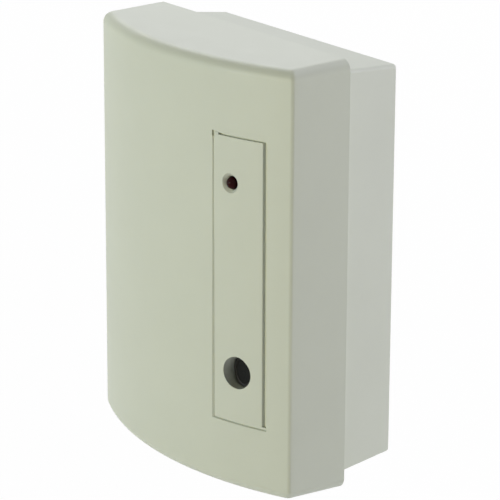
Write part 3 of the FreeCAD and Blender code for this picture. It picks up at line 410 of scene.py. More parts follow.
def front_sweep():
    """The bowed front with its rolled ends, trimmed at both mitres."""
    bm = rolled_profile()
    bmesh.ops.translate(bm, vec=(0, FRONT_Y, 0), verts=bm.verts)
    outer, inner = COVER_HALF + OVERRUN, COVER_HALF - SIDE_COLUMN
    angles = [math.asin(across / BOW_RADIUS) for across in (-outer, -inner, inner, outer)]
    axis_point = (0, BOW_AXIS_Y, 0)
    bmesh.ops.rotate(bm, cent=axis_point, matrix=Matrix.Rotation(angles[0], 3, "Z"), verts=bm.verts)
    swept = bm.verts[:] + bm.edges[:]
    for before, after, steps in zip(angles, angles[1:], (1, COLUMNS, 1)):
        swept = spin(bm, swept, axis_point, (0, 0, 1), after - before, steps)
    for side in (-1, 1):
        trim(bm, side, keep_front=True)
    return bm


def side_sweep(side):
    """One side with its rolled ends, from the rim over the waist to the mitre."""
    bm = rolled_profile()
    bmesh.ops.rotate(bm, cent=(0, 0, 0), matrix=Matrix.Rotation(side * math.pi / 2, 3, "Z"), verts=bm.verts)
    bmesh.ops.translate(bm, vec=(side * COVER_HALF, RIM_Y, 0), verts=bm.verts)
    swept = bm.edges[:]
    for stop in (WAIST_Y, SIDE_FRONT_Y - OVERRUN):
        made = bmesh.ops.extrude_edge_only(bm, edges=swept)["geom"]
        swept = [part for part in made if isinstance(part, bmesh.types.BMEdge)]
        for vert in {vert for edge in swept for vert in edge.verts}:
            vert.co.y = stop
    trim(bm, side, keep_front=False)
    return bm


def add_to(bm, other):
    """Adds another bmesh as a further island."""
    mesh = bpy.data.meshes.new("island")
    other.to_mesh(mesh)
    other.free()
    bm.from_mesh(mesh)
    bpy.data.meshes.remove(mesh)


# %% [markdown]
# ## Weld, lid and draft
# Three sweeps become one open shell: welded along the mitres, closed above and below with one flat face each, and
# rounded along the mitres. Behind the waist the ends lean outwards by 0.45 mm towards the rim, because a mould needs
# draft to let the part go. A spin returns its parts in an order that changes from run to run, and a weld picks its
# vertices by their order, so the parts are put in the order of their places before the weld and before the bevel.

# %% The outer shell of the cover


def settle(bm):
    """Rebuilds a bmesh with its parts in the order of their places."""
    def place(part):
        verts = [part] if isinstance(part, bmesh.types.BMVert) else part.verts
        return [round(sum(vert.co[axis] for vert in verts) / len(verts) / NEAR, 1) for axis in (X, Y, Z)]

    for parts in (bm.verts, bm.edges, bm.faces):
        ranks = {part: rank for rank, part in enumerate(sorted(parts, key=place))}
        parts.sort(key=ranks.get)
    mesh = bpy.data.meshes.new("settled")
    bm.to_mesh(mesh)
    bm.clear()
    bm.from_mesh(mesh)
    bpy.data.meshes.remove(mesh)


def in_mitre(vert):
    """True for a vertex in one of the two mitre planes."""
    across = abs(vert.co.x) - COVER_HALF
    return across > -MITRE_REACH and close_to(across * MITRE_SLOPE + vert.co.y, SIDE_FRONT_Y, WELD)


def add_lids(bm):
    """Closes the top and the bottom with a flat face that ends at the rim."""
    for level in (-FRONT_END, FRONT_END):
        outline = [edge for edge in bm.edges if edge.is_boundary and lies_at(edge, Z, level)]
        ends = [vert for vert in bm.verts if close_to(vert.co.z, level) and close_to(vert.co.y, RIM_Y)]
        outline.append(bm.edges.new(ends))
        bmesh.ops.contextual_create(bm, geom=outline)


def cover_outside():
    """The outer shell of the cover, open at the rim."""
    bm = front_sweep()
    for side in (-1, 1):
        add_to(bm, side_sweep(side))
    settle(bm)
    bmesh.ops.remove_doubles(bm, verts=bm.verts, dist=WELD)
    add_lids(bm)
    settle(bm)
    bmesh.ops.recalc_face_normals(bm, faces=bm.faces)
    creases = [edge for edge in bm.edges if all(in_mitre(vert) for vert in edge.verts)]
    turn = math.pi / 2 - BOW_SLOPE
    bevel(bm, creases, SIDE_ROUNDING * math.tan(turn / 2), SIDE_SEGMENTS)
    knife(bm, (0, WAIST_Y, 0), (0, 1, 0))
    for vert in bm.verts:
        behind = max(0.0, vert.co.y - WAIST_Y) / (RIM_Y - WAIST_Y)
        vert.co.z *= 1 + behind * DRAFT / FRONT_END
    print("mitre edges rounded:", len(creases))
    return bm


# %% [markdown]
# ## The recess of the strip
# On the outside the strip lies in a shallow recess, and on the inside the wall grows by as much, so that it stays
# equally thick. Both are the same move: knife cuts around a patch of the front, an extrusion of the patch, and a new
# depth for its vertices. The thin dark line around the strip in the photograph is this gap, wider at the right. The
# line is pale at the left and below, which a low step beside the strip explains, so the recess goes down in three
# stages. Its walls lean, as the draft of a mould does, and let more light into the gap.

# %% Sinking a patch of the front
STRIP_THICKNESS = 2.2 * MM
STRIP_GAP_LEFT = 0.45 * MM
STRIP_GAP_RIGHT = 1.29 * MM
STRIP_GAP_END = 0.5 * MM
STRIP_GAP_TOP = 0.6 * MM
RECESS_FLOOR = 1.7 * MM
RECESS_MARGIN = 2.0 * MM
COVER_WALL = 2.2 * MM
STEP_LEAN = 0.15 * MM
RIGHT_LEAN = 0.09
TOP_LEAN = 0.02
strip_low, strip_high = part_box("front_strip")
RECESS = (
    strip_low.x - STRIP_GAP_LEFT, strip_high.x + STRIP_GAP_RIGHT,
    strip_low.z - STRIP_GAP_END, strip_high.z + STRIP_GAP_TOP,
)
# Each stage: its left side, its lower end, how deep it goes and how far its left and lower wall lean.
RECESS_STAGES = (
    (RECESS[0], RECESS[2], 0.27 * MM, STEP_LEAN),
    (strip_low.x - 0.10 * MM, RECESS[2] + STEP_LEAN, 0.50 * MM, 0.08 * MM),
    (strip_low.x, strip_low.z - 0.05 * MM, STRIP_THICKNESS, 0.0),
)


def sink_patch(bm, area, surface, depth, leans=(0, 0, 0, 0)):
    """Moves a rectangular patch of a bowed surface further in and returns its outline."""
    left, right, low, high = area
    sides = ((left, X), (right, X), (low, Z), (high, Z))
    for place, axis in sides:
        patch = [face for face in bm.faces if on_bow(face, surface)]
        if axis == Z:
            patch = [face for face in patch if left < face.calc_center_median().x < right]
        normal = Vector([index == axis for index in (X, Y, Z)])
        geometry = dict.fromkeys(part for face in patch for part in (*face.verts, *face.edges, face))
        knife(bm, place * normal, normal, list(geometry))
    inside = []
    for face in bm.faces:
        middle = face.calc_center_median()
        if on_bow(face, surface) and left < middle.x < right and low < middle.z < high:
            inside.append(face)
    swept = bmesh.ops.extrude_face_region(bm, geom=inside)["geom"]
    bmesh.ops.delete(bm, geom=inside, context="FACES")
    for vert in verts_in(swept):
        for (place, axis), lean in zip(sides, leans):
            if close_to(vert.co[axis], place):
                vert.co[axis] += lean
        vert.co.y = bow_y(vert.co.x, depth)
    outline = []
    for edge in bm.edges:
        ends = [vert.co for vert in edge.verts]
        within = all(left - NEAR < co.x < right + NEAR and low - NEAR < co.z < high + NEAR for co in ends)
        if within and on_bow(edge, surface) and any(lies_at(edge, axis, place) for place, axis in sides):
            outline.append(edge)
    return outline


def sink_recess(bm):
    """Sinks the recess of the strip in its stages and returns its outline on the front."""
    outlines = []
    surface = 0.0
    for left, low, depth, lean in RECESS_STAGES:
        area = (left, RECESS[1] - RIGHT_LEAN * surface, low, RECESS[3] - TOP_LEAN * surface)
        step = depth - surface
        leans = (lean, -RIGHT_LEAN * step, lean, -TOP_LEAN * step)
        outlines.append(sink_patch(bm, area, surface, depth, leans))
        surface = depth
    return outlines[0]


# %% [markdown]
# ## The cover as one moulding
# Inside, the cover is a plain shell with a wall of 2.2 mm. Its inner shell is a bowed sheet with a flat rim, and the
# two open rims are bridged, which closes the moulding. The holes behind the windows, the slots for the strip's clips,
# the release notch below and a tiny notch at the recess's upper left corner are cut last, because a cut through
# finished walls keeps both faces clean.

# %% Build the cover
INNER_HALF = COVER_HALF - COVER_WALL
INNER_END = RIM_END - COVER_WALL
INNER_ROUNDING = 0.9 * MM
RECESS_EDGE = 0.10 * MM
RECESS_EDGE_SEGMENTS = 2
WINDOW_SEGMENTS = 64
LED_HOLE = 4.15 * MM
BOOT_HOLE = 8.3 * MM
CUTTER_LENGTH = 16 * MM
RELEASE_WIDTH = 12 * MM
RELEASE_DEPTH = 1.6 * MM
CLIP_WIDTH = 5.0 * MM
CLIP_INSET = 3.0 * MM
CLIP_THICKNESS = 1.4 * MM
CLIP_PLAY = Vector((0.25, 0.25, 0.25)) * MM
NOTCH_SIDES = (-0.18 * MM, 0.70 * MM)
NOTCH_ENDS = (-1.15 * MM, 0.33 * MM)
NOTCH_DEPTH = 0.45 * MM


def middle_of(node):
    """The middle of a node's box."""
    low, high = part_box(node)
    return (low + high) / 2


def box_between(low, high):
    """A bmesh box from its lowest to its highest corner."""
    bm = bmesh.new()
    bmesh.ops.create_cube(bm, size=1)
    low, high = Vector(low), Vector(high)
    bmesh.ops.scale(bm, vec=high - low, verts=bm.verts)
    bmesh.ops.translate(bm, vec=(low + high) / 2, verts=bm.verts)
    return bm


def rod(x, z, back_y, front_y, diameter, segments=WINDOW_SEGMENTS):
    """A bmesh rod that points to the front."""
    bm = bmesh.new()
    bmesh.ops.create_cone(
        bm, cap_ends=True, segments=segments, radius1=diameter / 2, radius2=diameter / 2, depth=back_y - front_y
    )
    bmesh.ops.rotate(bm, cent=(0, 0, 0), matrix=Matrix.Rotation(math.pi / 2, 3, "X"), verts=bm.verts)
    bmesh.ops.translate(bm, vec=(x, (back_y + front_y) / 2, z), verts=bm.verts)
    return bm


def clip_boxes():
    """Lowest and highest corners of the strip's upper and lower clip legs."""
    middle = (strip_low.x + strip_high.x) / 2
    front = bow_y(middle + CLIP_WIDTH / 2, STRIP_THICKNESS / 2)
    boxes = []
    for outer, side in ((strip_high.z - CLIP_INSET, -1), (strip_low.z + CLIP_INSET, 1)):
        low, high = sorted((outer, outer + side * CLIP_THICKNESS))
        boxes.append((
            Vector((middle - CLIP_WIDTH / 2, front, low)), Vector((middle + CLIP_WIDTH / 2, strip_high.y, high))
        ))
    return boxes


def notch_tool():
    """A cutter for the small notch at the upper left corner of the recess."""
    (left, right), (low, high) = NOTCH_SIDES, NOTCH_ENDS
    corner = Vector((RECESS[0], bow_y(RECESS[0]), RECESS[3]))
    return box_between(corner + Vector((left, -BEYOND, low)), corner + Vector((right, NOTCH_DEPTH, high)))


def open_rim(bm):
    """Deletes the faces that close a block at the cover's rim."""
    bmesh.ops.delete(bm, geom=[face for face in bm.faces if lies_at(face, Y, RIM_Y)], context="FACES_ONLY")


def cover_inside():
    """The inner shell of the cover, open at the rim, with the backing of the recess."""
    bm = bowed_sheet(-INNER_HALF, INNER_HALF, -INNER_END, INNER_END, COVER_WALL, COLUMNS)
    back_with(bm, lambda across: RIM_Y)
    corners = []
    for edge in bm.edges:
        ends = [vert.co for vert in edge.verts]
        if all(close_to(abs(co.x), INNER_HALF) and close_to(abs(co.z), INNER_END) for co in ends):
            corners.append(edge)
    bevel(bm, corners, INNER_ROUNDING, SMALL_SEGMENTS)
    open_rim(bm)
    left, right, low, high = RECESS
    around = (left - RECESS_MARGIN, right + RECESS_MARGIN, low - RECESS_MARGIN, high + RECESS_MARGIN)
    sink_patch(bm, around, COVER_WALL, STRIP_THICKNESS + RECESS_FLOOR)
    bmesh.ops.reverse_faces(bm, faces=bm.faces[:])
    return bm


def rim_loop(bm):
    """The open edges at the rim."""
    return [edge for edge in bm.edges if edge.is_boundary]


def build_cover():
    """The shell of the cover with its recess and the holes behind the windows."""
    bm = cover_outside()
    bevel(bm, sink_recess(bm), RECESS_EDGE, RECESS_EDGE_SEGMENTS)
    add_to(bm, cover_inside())
    bmesh.ops.bridge_loops(bm, edges=rim_loop(bm))
    print("open edges left:", len(rim_loop(bm)))
    cover = make_mesh_object(bm, "cover_shell")
    cutters = []
    for node, diameter in (("indicator_led", LED_HOLE), ("microphone_boot", BOOT_HOLE)):
        middle = middle_of(node)
        cutters.append(rod(middle.x, middle.z, FRONT_Y + CUTTER_LENGTH, FRONT_Y - BEYOND, diameter))
    cutters.append(box_between(
        (-RELEASE_WIDTH / 2, RIM_Y - RELEASE_DEPTH, -RIM_END - BEYOND),
        (RELEASE_WIDTH / 2, RIM_Y + BEYOND, -RIM_END + COVER_WALL),
    ))
    cutters.append(notch_tool())
    cutters += [box_between(low - CLIP_PLAY, high + CLIP_PLAY) for low, high in clip_boxes()]
    carve(cover, cutters)
    return cover


# %% [markdown]
# ## Catches and the tamper post
# The cover holds on three teeth behind its rim, two above and a wide one below, and a post behind the recess keeps
# the tamper switch pressed while the cover is on. Each tooth is one drawn outline, extruded along the rim. It roots
# in the wall as a separate island, which moulded ribs can be in a mesh that is only looked at.

# %% Teeth and post
CATCH_SETBACK = 1.0 * MM
CATCH_LENGTH = 1.6 * MM
CATCH_HEIGHT = 0.9 * MM
CATCHES = ((-18 * MM, 8 * MM, 1), (18 * MM, 8 * MM, 1), (0.0, 14 * MM, -1))
POST_DIAMETER = 4.0 * MM
POST_SEGMENTS = 32


def drawn_across(outline, left, width):
    """An outline of (y, z) corners, extruded across."""
    bm = bmesh.new()
    face = bm.faces.new([bm.verts.new((left, y, z)) for y, z in outline])
    swept = bmesh.ops.extrude_face_region(bm, geom=[face])["geom"]
    bmesh.ops.translate(bm, vec=(width, 0, 0), verts=verts_in(swept))
    return bm


def catch_tooth(middle, width, side):
    """One tooth on the inner wall: a slope that leads in and a square face that holds."""
    back = RIM_Y - CATCH_SETBACK
    front = back - CATCH_LENGTH
    crest = INNER_END - CATCH_HEIGHT
    root = INNER_END + COVER_WALL / 2
    outline = ((back, root), (back, INNER_END), ((back + front) / 2, crest), (front, crest), (front, root))
    return drawn_across([(y, side * z) for y, z in outline], middle - width / 2, width)


def add_islands(piece, parts):
    """Adds closed shells to a piece as further islands."""
    bm = bmesh.new()
    bm.from_mesh(piece.data)
    for part in parts:
        bmesh.ops.recalc_face_normals(part, faces=part.faces)
        add_to(bm, part)
    bm.to_mesh(piece.data)
    bm.free()


cover_shell = build_cover()
plunger = middle_of("tamper_plunger")
post_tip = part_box("tamper_plunger")[0].y
post_root = bow_y(plunger.x, STRIP_THICKNESS + RECESS_FLOOR / 2)
add_islands(cover_shell, [
    *[catch_tooth(*settings) for settings in CATCHES],
    rod(plunger.x, plunger.z, post_tip, post_root, POST_DIAMETER, POST_SEGMENTS),
])
dress(cover_shell, cover_plastic, "housing", ["front_cover"])

# %% [markdown]
# ## The strip with its two windows
# The strip is a bar with the same bow as the cover, so that it lies flush. Its front edges have a tiny rounding. The
# window of the indicator has a countersink, so that the small lamp can be seen from the side, and the one of the
# microphone is a straight hole with a barely broken edge. Each window takes two turned tools: a straight one that
# points at the wall, as the mould opens, and a cone that leans with the bow, so that the flare is as wide all round.
# The cone's own tip angle sets how far it goes in.
#
# Two small tabs bridge the gap, beside the upper left notch and at the lower right corner. Behind its face the strip
# has low flanges at the right and above, which make the gap shallow there. In the photograph the strip sits a little
# askew in its recess: it has slid 0.15 mm to the right, its lower end a little more, and stands 0.12 mm higher, so
# the finished strip is moved and turned by as much.

# %% Bowed bar, turned cutters and clips
STRIP_COLUMNS = 28
STRIP_EDGE = 0.16 * MM
STRIP_CORNER = math.radians(45)
LED_WINDOW = 3.4 * MM
LED_COUNTERSINK = 0.76 * MM
LED_WINDOW_SHIFT = 0.16 * MM
MICROPHONE_WINDOW = 8.06 * MM
MICROPHONE_RIM = 0.10 * MM
CLIP_TOOTH = 0.95 * MM
STRIP_SLIDE = 0.15 * MM
STRIP_LIFT = 0.12 * MM
STRIP_TURN = math.radians(-0.19)
STRIP_SIDE_SLOPE = 0.25 * MM
STRIP_TOP_SLOPE = 0.12 * MM
TAB_FIT = 0.02 * MM
UPPER_TAB = (0.25 * MM, 1.35 * MM)
LOWER_TAB = 0.38 * MM
LOWER_TAB_END = 0.30 * MM
ROOT = 0.3 * MM
RIGHT_FLANGE = (0.85 * MM, 0.72 * MM)
TOP_FLANGE = (0.36 * MM, 0.74 * MM)
BLOCK_COLUMNS = 2
TURN_MERGE = 0.001 * MM


def turned(outline, x, z, steps=WINDOW_SEGMENTS):
    """Spins an outline of (radius, y) corners about a line that points to the front."""
    bm = bmesh.new()
    verts = [bm.verts.new((x + radius, y, z)) for radius, y in outline]
    edges = [bm.edges.new(pair) for pair in zip(verts, verts[1:])]
    spin(bm, verts + edges, (x, 0, z), (0, 1, 0), 2 * math.pi, steps, merge=True)
    bmesh.ops.remove_doubles(bm, verts=bm.verts, dist=TURN_MERGE)
    return bm


def window_tools(node, diameter, flare, shift=0.0):
    """Two cutters for a round window: a straight rod, and a cone that leans with the bow for its flare."""
    middle = middle_of(node) + Vector((shift, 0, 0))
    face = bow_y(middle.x)
    tip = diameter / 2 + flare
    straight = rod(middle.x, middle.z, face + STRIP_THICKNESS + 2 * BEYOND, face - 2 * BEYOND, diameter)
    outline = ((0, face + tip), (tip + BEYOND, face - BEYOND), (0, face - BEYOND))
    cone = turned(outline, middle.x, middle.z)
    lean = Matrix.Rotation(math.asin(middle.x / BOW_RADIUS), 3, "Z")
    bmesh.ops.rotate(cone, cent=(middle.x, face, middle.z), matrix=lean, verts=cone.verts)
    return straight, cone


def clip_leg(low, high, side):
    """A leg behind the strip with a hook at its tip."""
    outer, inner = (high.z, low.z) if side > 0 else (low.z, high.z)
    seat = bow_y(high.x, STRIP_THICKNESS + RECESS_FLOOR) + CLIP_PLAY.y
    hook = outer + side * CLIP_TOOTH
    outline = ((low.y, inner), (high.y, inner), (high.y, outer), (seat, hook), (seat, outer), (low.y, outer))
    return drawn_across(outline, low.x, high.x - low.x)


def tabs_and_flanges():
    """Two tabs that fill a piece of the gap, and the flanges at the right and above."""
    left, right = strip_low.x, strip_high.x
    low, high = strip_low.z, strip_high.z
    tab_top = RECESS[3] - STRIP_LIFT - TAB_FIT
    tab_back = STRIP_THICKNESS / 2
    flange_top = high + TOP_FLANGE[0]
    blocks = []
    for *area, front, back in (
        (left + UPPER_TAB[0], left + UPPER_TAB[1], high - ROOT, tab_top, TAB_FIT, tab_back),
        (right - ROOT, RECESS[1] - LOWER_TAB_END, low - TAB_FIT, low + LOWER_TAB, TAB_FIT, tab_back),
        (right - ROOT, right + RIGHT_FLANGE[0], low, flange_top, RIGHT_FLANGE[1], STRIP_THICKNESS),
        (left, right, high - ROOT, flange_top, TOP_FLANGE[1], STRIP_THICKNESS),
    ):
        bm = bowed_sheet(*area, front, BLOCK_COLUMNS)
        back_with(bm, lambda across: bow_y(across, back))
        blocks.append(bm)
    return blocks


def seat_strip(strip):
    """Slides the strip along the bow, lifts it and turns it a little in its recess."""
    middle = (strip_low + strip_high) / 2
    axis = Vector((0, BOW_AXIS_Y, 0))
    slide = Matrix.Rotation(STRIP_SLIDE / BOW_RADIUS, 4, "Z")
    turn = Matrix.Rotation(STRIP_TURN, 4, "Y")
    strip.data.transform(Matrix.Translation(middle) @ turn @ Matrix.Translation(-middle))
    strip.data.transform(Matrix.Translation(axis) @ slide @ Matrix.Translation(-axis))
    strip.data.transform(Matrix.Translation((0, 0, STRIP_LIFT)))


def build_strip():
    """The bar, its windows, its tabs and its clips."""
    bm = bowed_sheet(strip_low.x, strip_high.x, strip_low.z, strip_high.z, 0, STRIP_COLUMNS)
    back_with(bm, lambda across: bow_y(across, STRIP_THICKNESS))
    for vert in bm.verts:
        if vert.co.y > bow_y(vert.co.x, STRIP_THICKNESS / 2):
            if close_to(vert.co.x, strip_high.x):
                vert.co.x += STRIP_SIDE_SLOPE
            if close_to(vert.co.z, strip_high.z):
                vert.co.z += STRIP_TOP_SLOPE
            vert.co.y = bow_y(vert.co.x, STRIP_THICKNESS)
    outline = [edge for edge in bm.edges if on_bow(edge, 0) and edge.calc_face_angle(0) > STRIP_CORNER]
    bevel(bm, outline, STRIP_EDGE, SMALL_SEGMENTS)
    print("strip edges rounded:", len(outline))
    strip = make_mesh_object(bm, "window_strip")
    carve(strip, [
        *window_tools("indicator_led", LED_WINDOW, LED_COUNTERSINK, LED_WINDOW_SHIFT),
        *window_tools("microphone_boot", MICROPHONE_WINDOW, MICROPHONE_RIM),
        notch_tool(),
    ])
    clips = [clip_leg(low, high, side) for (low, high), side in zip(clip_boxes(), (1, -1))]
    add_islands(strip, clips + tabs_and_flanges())
    seat_strip(strip)
    return strip


dress(build_strip(), strip_plastic, "housing", ["front_strip"])

# %% [markdown]
# ## The base
# The base is a deep tray that tapers towards the wall. It starts as a cube whose eight corners are moved to the
# outline at the wall and at the rim. Its four depth edges are rounded, and the outline at the wall gets a smaller
# rounding, because that is where the mould parts. The inside is a second block of the same kind, moved in by the
# wall. Turned inside out and bridged to the outside along the rim, it makes one even wall, which an inset of the rim
# can't do here, because the corner's rounding is smaller than the wall.

# %% Tapered tray
WALL_Y = 0.0
BASE_WALL = 2.0 * MM
BASE_FLOOR = 2.4 * MM
FLOOR_Y = WALL_Y - BASE_FLOOR
BASE_CORNER = 1.0 * MM
BASE_INNER_CORNER = 0.5 * MM
BASE_BACK_EDGE = 0.5 * MM
CORNER_SEGMENTS = 6
# Half the width, the top and the bottom.
RIM_OUTLINE = (38.6 * MM, 51.3 * MM, -50.2 * MM)
BACK_OUTLINE = (35.35 * MM, 49.6 * MM, -49.6 * MM)


def depth_edges(bm):
    """The edges that run from the wall to the rim."""
    return [edge for edge in bm.edges if abs(edge.verts[0].co.y - edge.verts[1].co.y) > BASE_FLOOR]


def tapered_block(inward, back_y, corner):
    """A block between two different rectangles, at its back and at the rim, with rounded depth edges."""
    bm = bmesh.new()
    bmesh.ops.create_cube(bm, size=2)
    for vert in bm.verts:
        (half, top, bottom), y = (BACK_OUTLINE, back_y) if vert.co.y > 0 else (RIM_OUTLINE, RIM_Y)
        level = top - inward if vert.co.z > 0 else bottom + inward
        vert.co = (vert.co.x * (half - inward), y, level)
    bevel(bm, depth_edges(bm), corner, CORNER_SEGMENTS)
    return bm


def tray():
    """The outside and the inside of the base, joined along the rim."""
    bm = tapered_block(0.0, WALL_Y, BASE_CORNER)
    back_face = max(bm.faces, key=lambda face: face.calc_center_median().y)
    bevel(bm, list(back_face.edges), BASE_BACK_EDGE, SMALL_SEGMENTS)
    open_rim(bm)
    inside = tapered_block(BASE_WALL, FLOOR_Y, BASE_INNER_CORNER)
    open_rim(inside)
    bmesh.ops.reverse_faces(inside, faces=inside.faces[:])
    add_to(bm, inside)
    bmesh.ops.bridge_loops(bm, edges=rim_loop(bm))
    return bm


# %% [markdown]
# ## What stands in the base
# Four posts carry the circuit board, two of them with pins through it. Two bosses stiffen the wall around the
# mounting holes, and a thin lip rises from the rim into the cover. The posts are turned islands that root in the
# floor, and the bosses are joined to it. The wall holes and the wire entry go right through, so they are cut last,
# and the wall holes get a small lead-in that shows from behind.

# %% Posts, bosses, lip and openings
LIP_DEPTH = 4.0 * MM
LIP_PLAY = 0.25 * MM
LIP_WALL = 1.6 * MM
LIP_CORNER = 1.5 * MM
BOARD_POSTS = ((-29, -33), (29, -33), (-29, 33), (29, 33))
BOARD_POST_RADIUS = 3.0 * MM
BOARD_POST_SEGMENTS = 40
FOOT = 0.8 * MM
PIN_RADIUS = 1.3 * MM
PIN_STAND = 0.6 * MM
WALL_HOLES = (-41.65 * MM, 41.65 * MM)
WALL_HOLE_RADIUS = 2.2 * MM
WALL_BOSS_RADIUS = 4.5 * MM
WALL_BOSS_HEIGHT = 1.4 * MM
WALL_BOSS_SEGMENTS = 48
WIRE_ENTRY = ((-11 * MM, 9 * MM), (11 * MM, 21 * MM))
WIRE_ENTRY_CORNER = 0.8 * MM
WIRE_ENTRY_SEGMENTS = 5
LEAD_IN = 0.3 * MM


def board_post(across, up, board_back, board_front):
    """A post with a wider foot; the ones on the falling diagonal end in a pin."""
    root = FLOOR_Y + BASE_FLOOR / 2
    foot = BOARD_POST_RADIUS + FOOT
    outline = [(0, root), (foot, root), (foot, FLOOR_Y), (BOARD_POST_RADIUS, FLOOR_Y - FOOT),
               (BOARD_POST_RADIUS, board_back)]
    if across * up < 0:
        tip = board_front - PIN_STAND
        outline += [(PIN_RADIUS, board_back), (PIN_RADIUS, tip + LEAD_IN), (PIN_RADIUS - LEAD_IN, tip), (0, tip)]
    else:
        outline += [(0, board_back)]
    return turned(outline, across * MM, up * MM, BOARD_POST_SEGMENTS)


def lip_ring():
    """The thin wall that enters the cover."""
    half, end = INNER_HALF - LIP_PLAY, INNER_END - LIP_PLAY
    bm = box_between((-half, RIM_Y - LIP_DEPTH, -end), (half, RIM_Y, end))
    bevel(bm, depth_edges(bm), LIP_CORNER, CORNER_SEGMENTS)
    ends = [face for face in bm.faces if lies_at(face, Y, RIM_Y - LIP_DEPTH) or lies_at(face, Y, RIM_Y)]
    for face in ends:
        bmesh.ops.inset_region(bm, faces=[face], thickness=LIP_WALL, use_even_offset=True)
    loops = [edge for face in ends for edge in face.edges]
    bmesh.ops.delete(bm, geom=ends, context="FACES_ONLY")
    bmesh.ops.bridge_loops(bm, edges=loops)
    return bm


def through_tool(up):
    """A cutter for a wall hole with a small flare at the back."""
    inner = FLOOR_Y - WALL_BOSS_HEIGHT - BEYOND
    outline = (
        (0, WALL_Y + BEYOND), (WALL_HOLE_RADIUS + LEAD_IN + BEYOND, WALL_Y + BEYOND),
        (WALL_HOLE_RADIUS, WALL_Y - LEAD_IN), (WALL_HOLE_RADIUS, inner), (0, inner),
    )
    return turned(outline, 0, up)


def entry_tool():
    """A cutter for the wire entry, a box with round corners."""
    (left, low), (right, high) = WIRE_ENTRY
    bm = box_between((left, FLOOR_Y - BEYOND, low), (right, WALL_Y + BEYOND, high))
    bevel(bm, depth_edges(bm), WIRE_ENTRY_CORNER, WIRE_ENTRY_SEGMENTS)
    return bm


def build_base():
    """The whole base."""
    base = make_mesh_object(tray(), "base_tray")
    boss = (FLOOR_Y + BASE_FLOOR / 2, FLOOR_Y - WALL_BOSS_HEIGHT, 2 * WALL_BOSS_RADIUS, WALL_BOSS_SEGMENTS)
    carve(base, [rod(0, up, *boss) for up in WALL_HOLES], operation="UNION")
    carve(base, [*[through_tool(up) for up in WALL_HOLES], entry_tool()])
    board_low, board_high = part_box("circuit_board")
    add_islands(base, [lip_ring(), *[board_post(*place, board_high.y, board_low.y) for place in BOARD_POSTS]])
    return base


dress(build_base(), base_plastic, "housing", ["rear_base"])

# %% [markdown]
# ## The indicator lamp
# A 3 mm lamp is cast in red epoxy as one turned body: a flange, a straight barrel and a dome. A cylinder whose front
# edge gets a bevel nearly as wide as its radius is a dome already, so no sphere has to be joined on. The dark disc in
# the photograph reaches the window's right rim, so the dome stands about half a millimetre proud of the strip. Unlit,
# the lamp looks almost black, with a small highlight: the epoxy is smooth, and deep red light hardly comes back out.

# %% Indicator lens
FLANGE_RADIUS = 1.95 * MM
FLANGE_LENGTH = 1.0 * MM
FLANGE_EDGE = 0.1 * MM
LENS_RADIUS = 1.5 * MM
LENS_STEPS = 48
DOME_REACH = 0.95 * MM
DOME_SHARE = 0.99
DOME_SEGMENTS = 14


def round_rings(bm, middle, rings, offset, segments):
    """Rounds circles of a turned piece, each given by its radius and its Y."""
    for ring in rings:
        chosen = []
        for edge in bm.edges:
            spans = [(math.hypot(vert.co.x - middle.x, vert.co.z - middle.z), vert.co.y) for vert in edge.verts]
            if all(close_to(reach, ring[0]) and close_to(y, ring[1]) for reach, y in spans):
                chosen.append(edge)
        bevel(bm, chosen, offset, segments)


def build_lens():
    """Flange, barrel and dome."""
    low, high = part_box("indicator_led")
    middle = middle_of("indicator_led")
    step = high.y - FLANGE_LENGTH
    tip = low.y - DOME_REACH
    outline = ((0, high.y), (FLANGE_RADIUS, high.y), (FLANGE_RADIUS, step), (LENS_RADIUS, step),
               (LENS_RADIUS, tip), (0, tip))
    bm = turned(outline, middle.x, middle.z, LENS_STEPS)
    round_rings(bm, middle, [(LENS_RADIUS, tip)], DOME_SHARE * LENS_RADIUS, DOME_SEGMENTS)
    round_rings(bm, middle, [(FLANGE_RADIUS, step), (FLANGE_RADIUS, high.y)], FLANGE_EDGE, SMALL_SEGMENTS)
    return make_mesh_object(bm, "indicator_lens")


red_epoxy = layered_finish(
    "red_epoxy", (0.028, 0.0015, 0.0015), dark_share=0.7, roughness=(0.08, 0.16), height=0.001 * MM,
    tone={"size": 1.2 * MM, "detail": 2.0}, patches={"size": 0.5 * MM}, bumps={"size": 0.4 * MM},
    values={"Transmission Weight": 0.05, "Specular IOR Level": 0.045},
)
dress(build_lens(), red_epoxy, "housing", ["indicator_led"])

# %% [markdown]
# ## The microphone
# The capsule sits in a black rubber boot, and a disc of felt over its face keeps dust out. The boot is turned in one
# outline with its bore, and the circles that show are rounded, as rubber always is. Its nose stands in the window,
# close behind the face, where the photograph shows the black disc. The felt is cut from sheet: its rim is soft and
# its face is uneven, so its disc is divided into rings and lifted by a few hundredths of a millimetre of noise. Its
# finish is a noise that is squeezed one way, for matted fibres.

# %% Boot and felt
BOOT_RADIUS = 5.2 * MM
BOOT_SHOULDER = 6.2 * MM
BOOT_NOSE = 3.9 * MM
BOOT_BORE = 3.0 * MM
BOOT_EDGE = 0.25 * MM
BOOT_EDGE_SEGMENTS = 4
FELT_EDGE = 0.12 * MM
FELT_RINGS = 7
FELT_RELIEF = 0.05 * MM
FELT_LUMP = 0.5 * MM
NOSE_REACH = 0.8 * MM


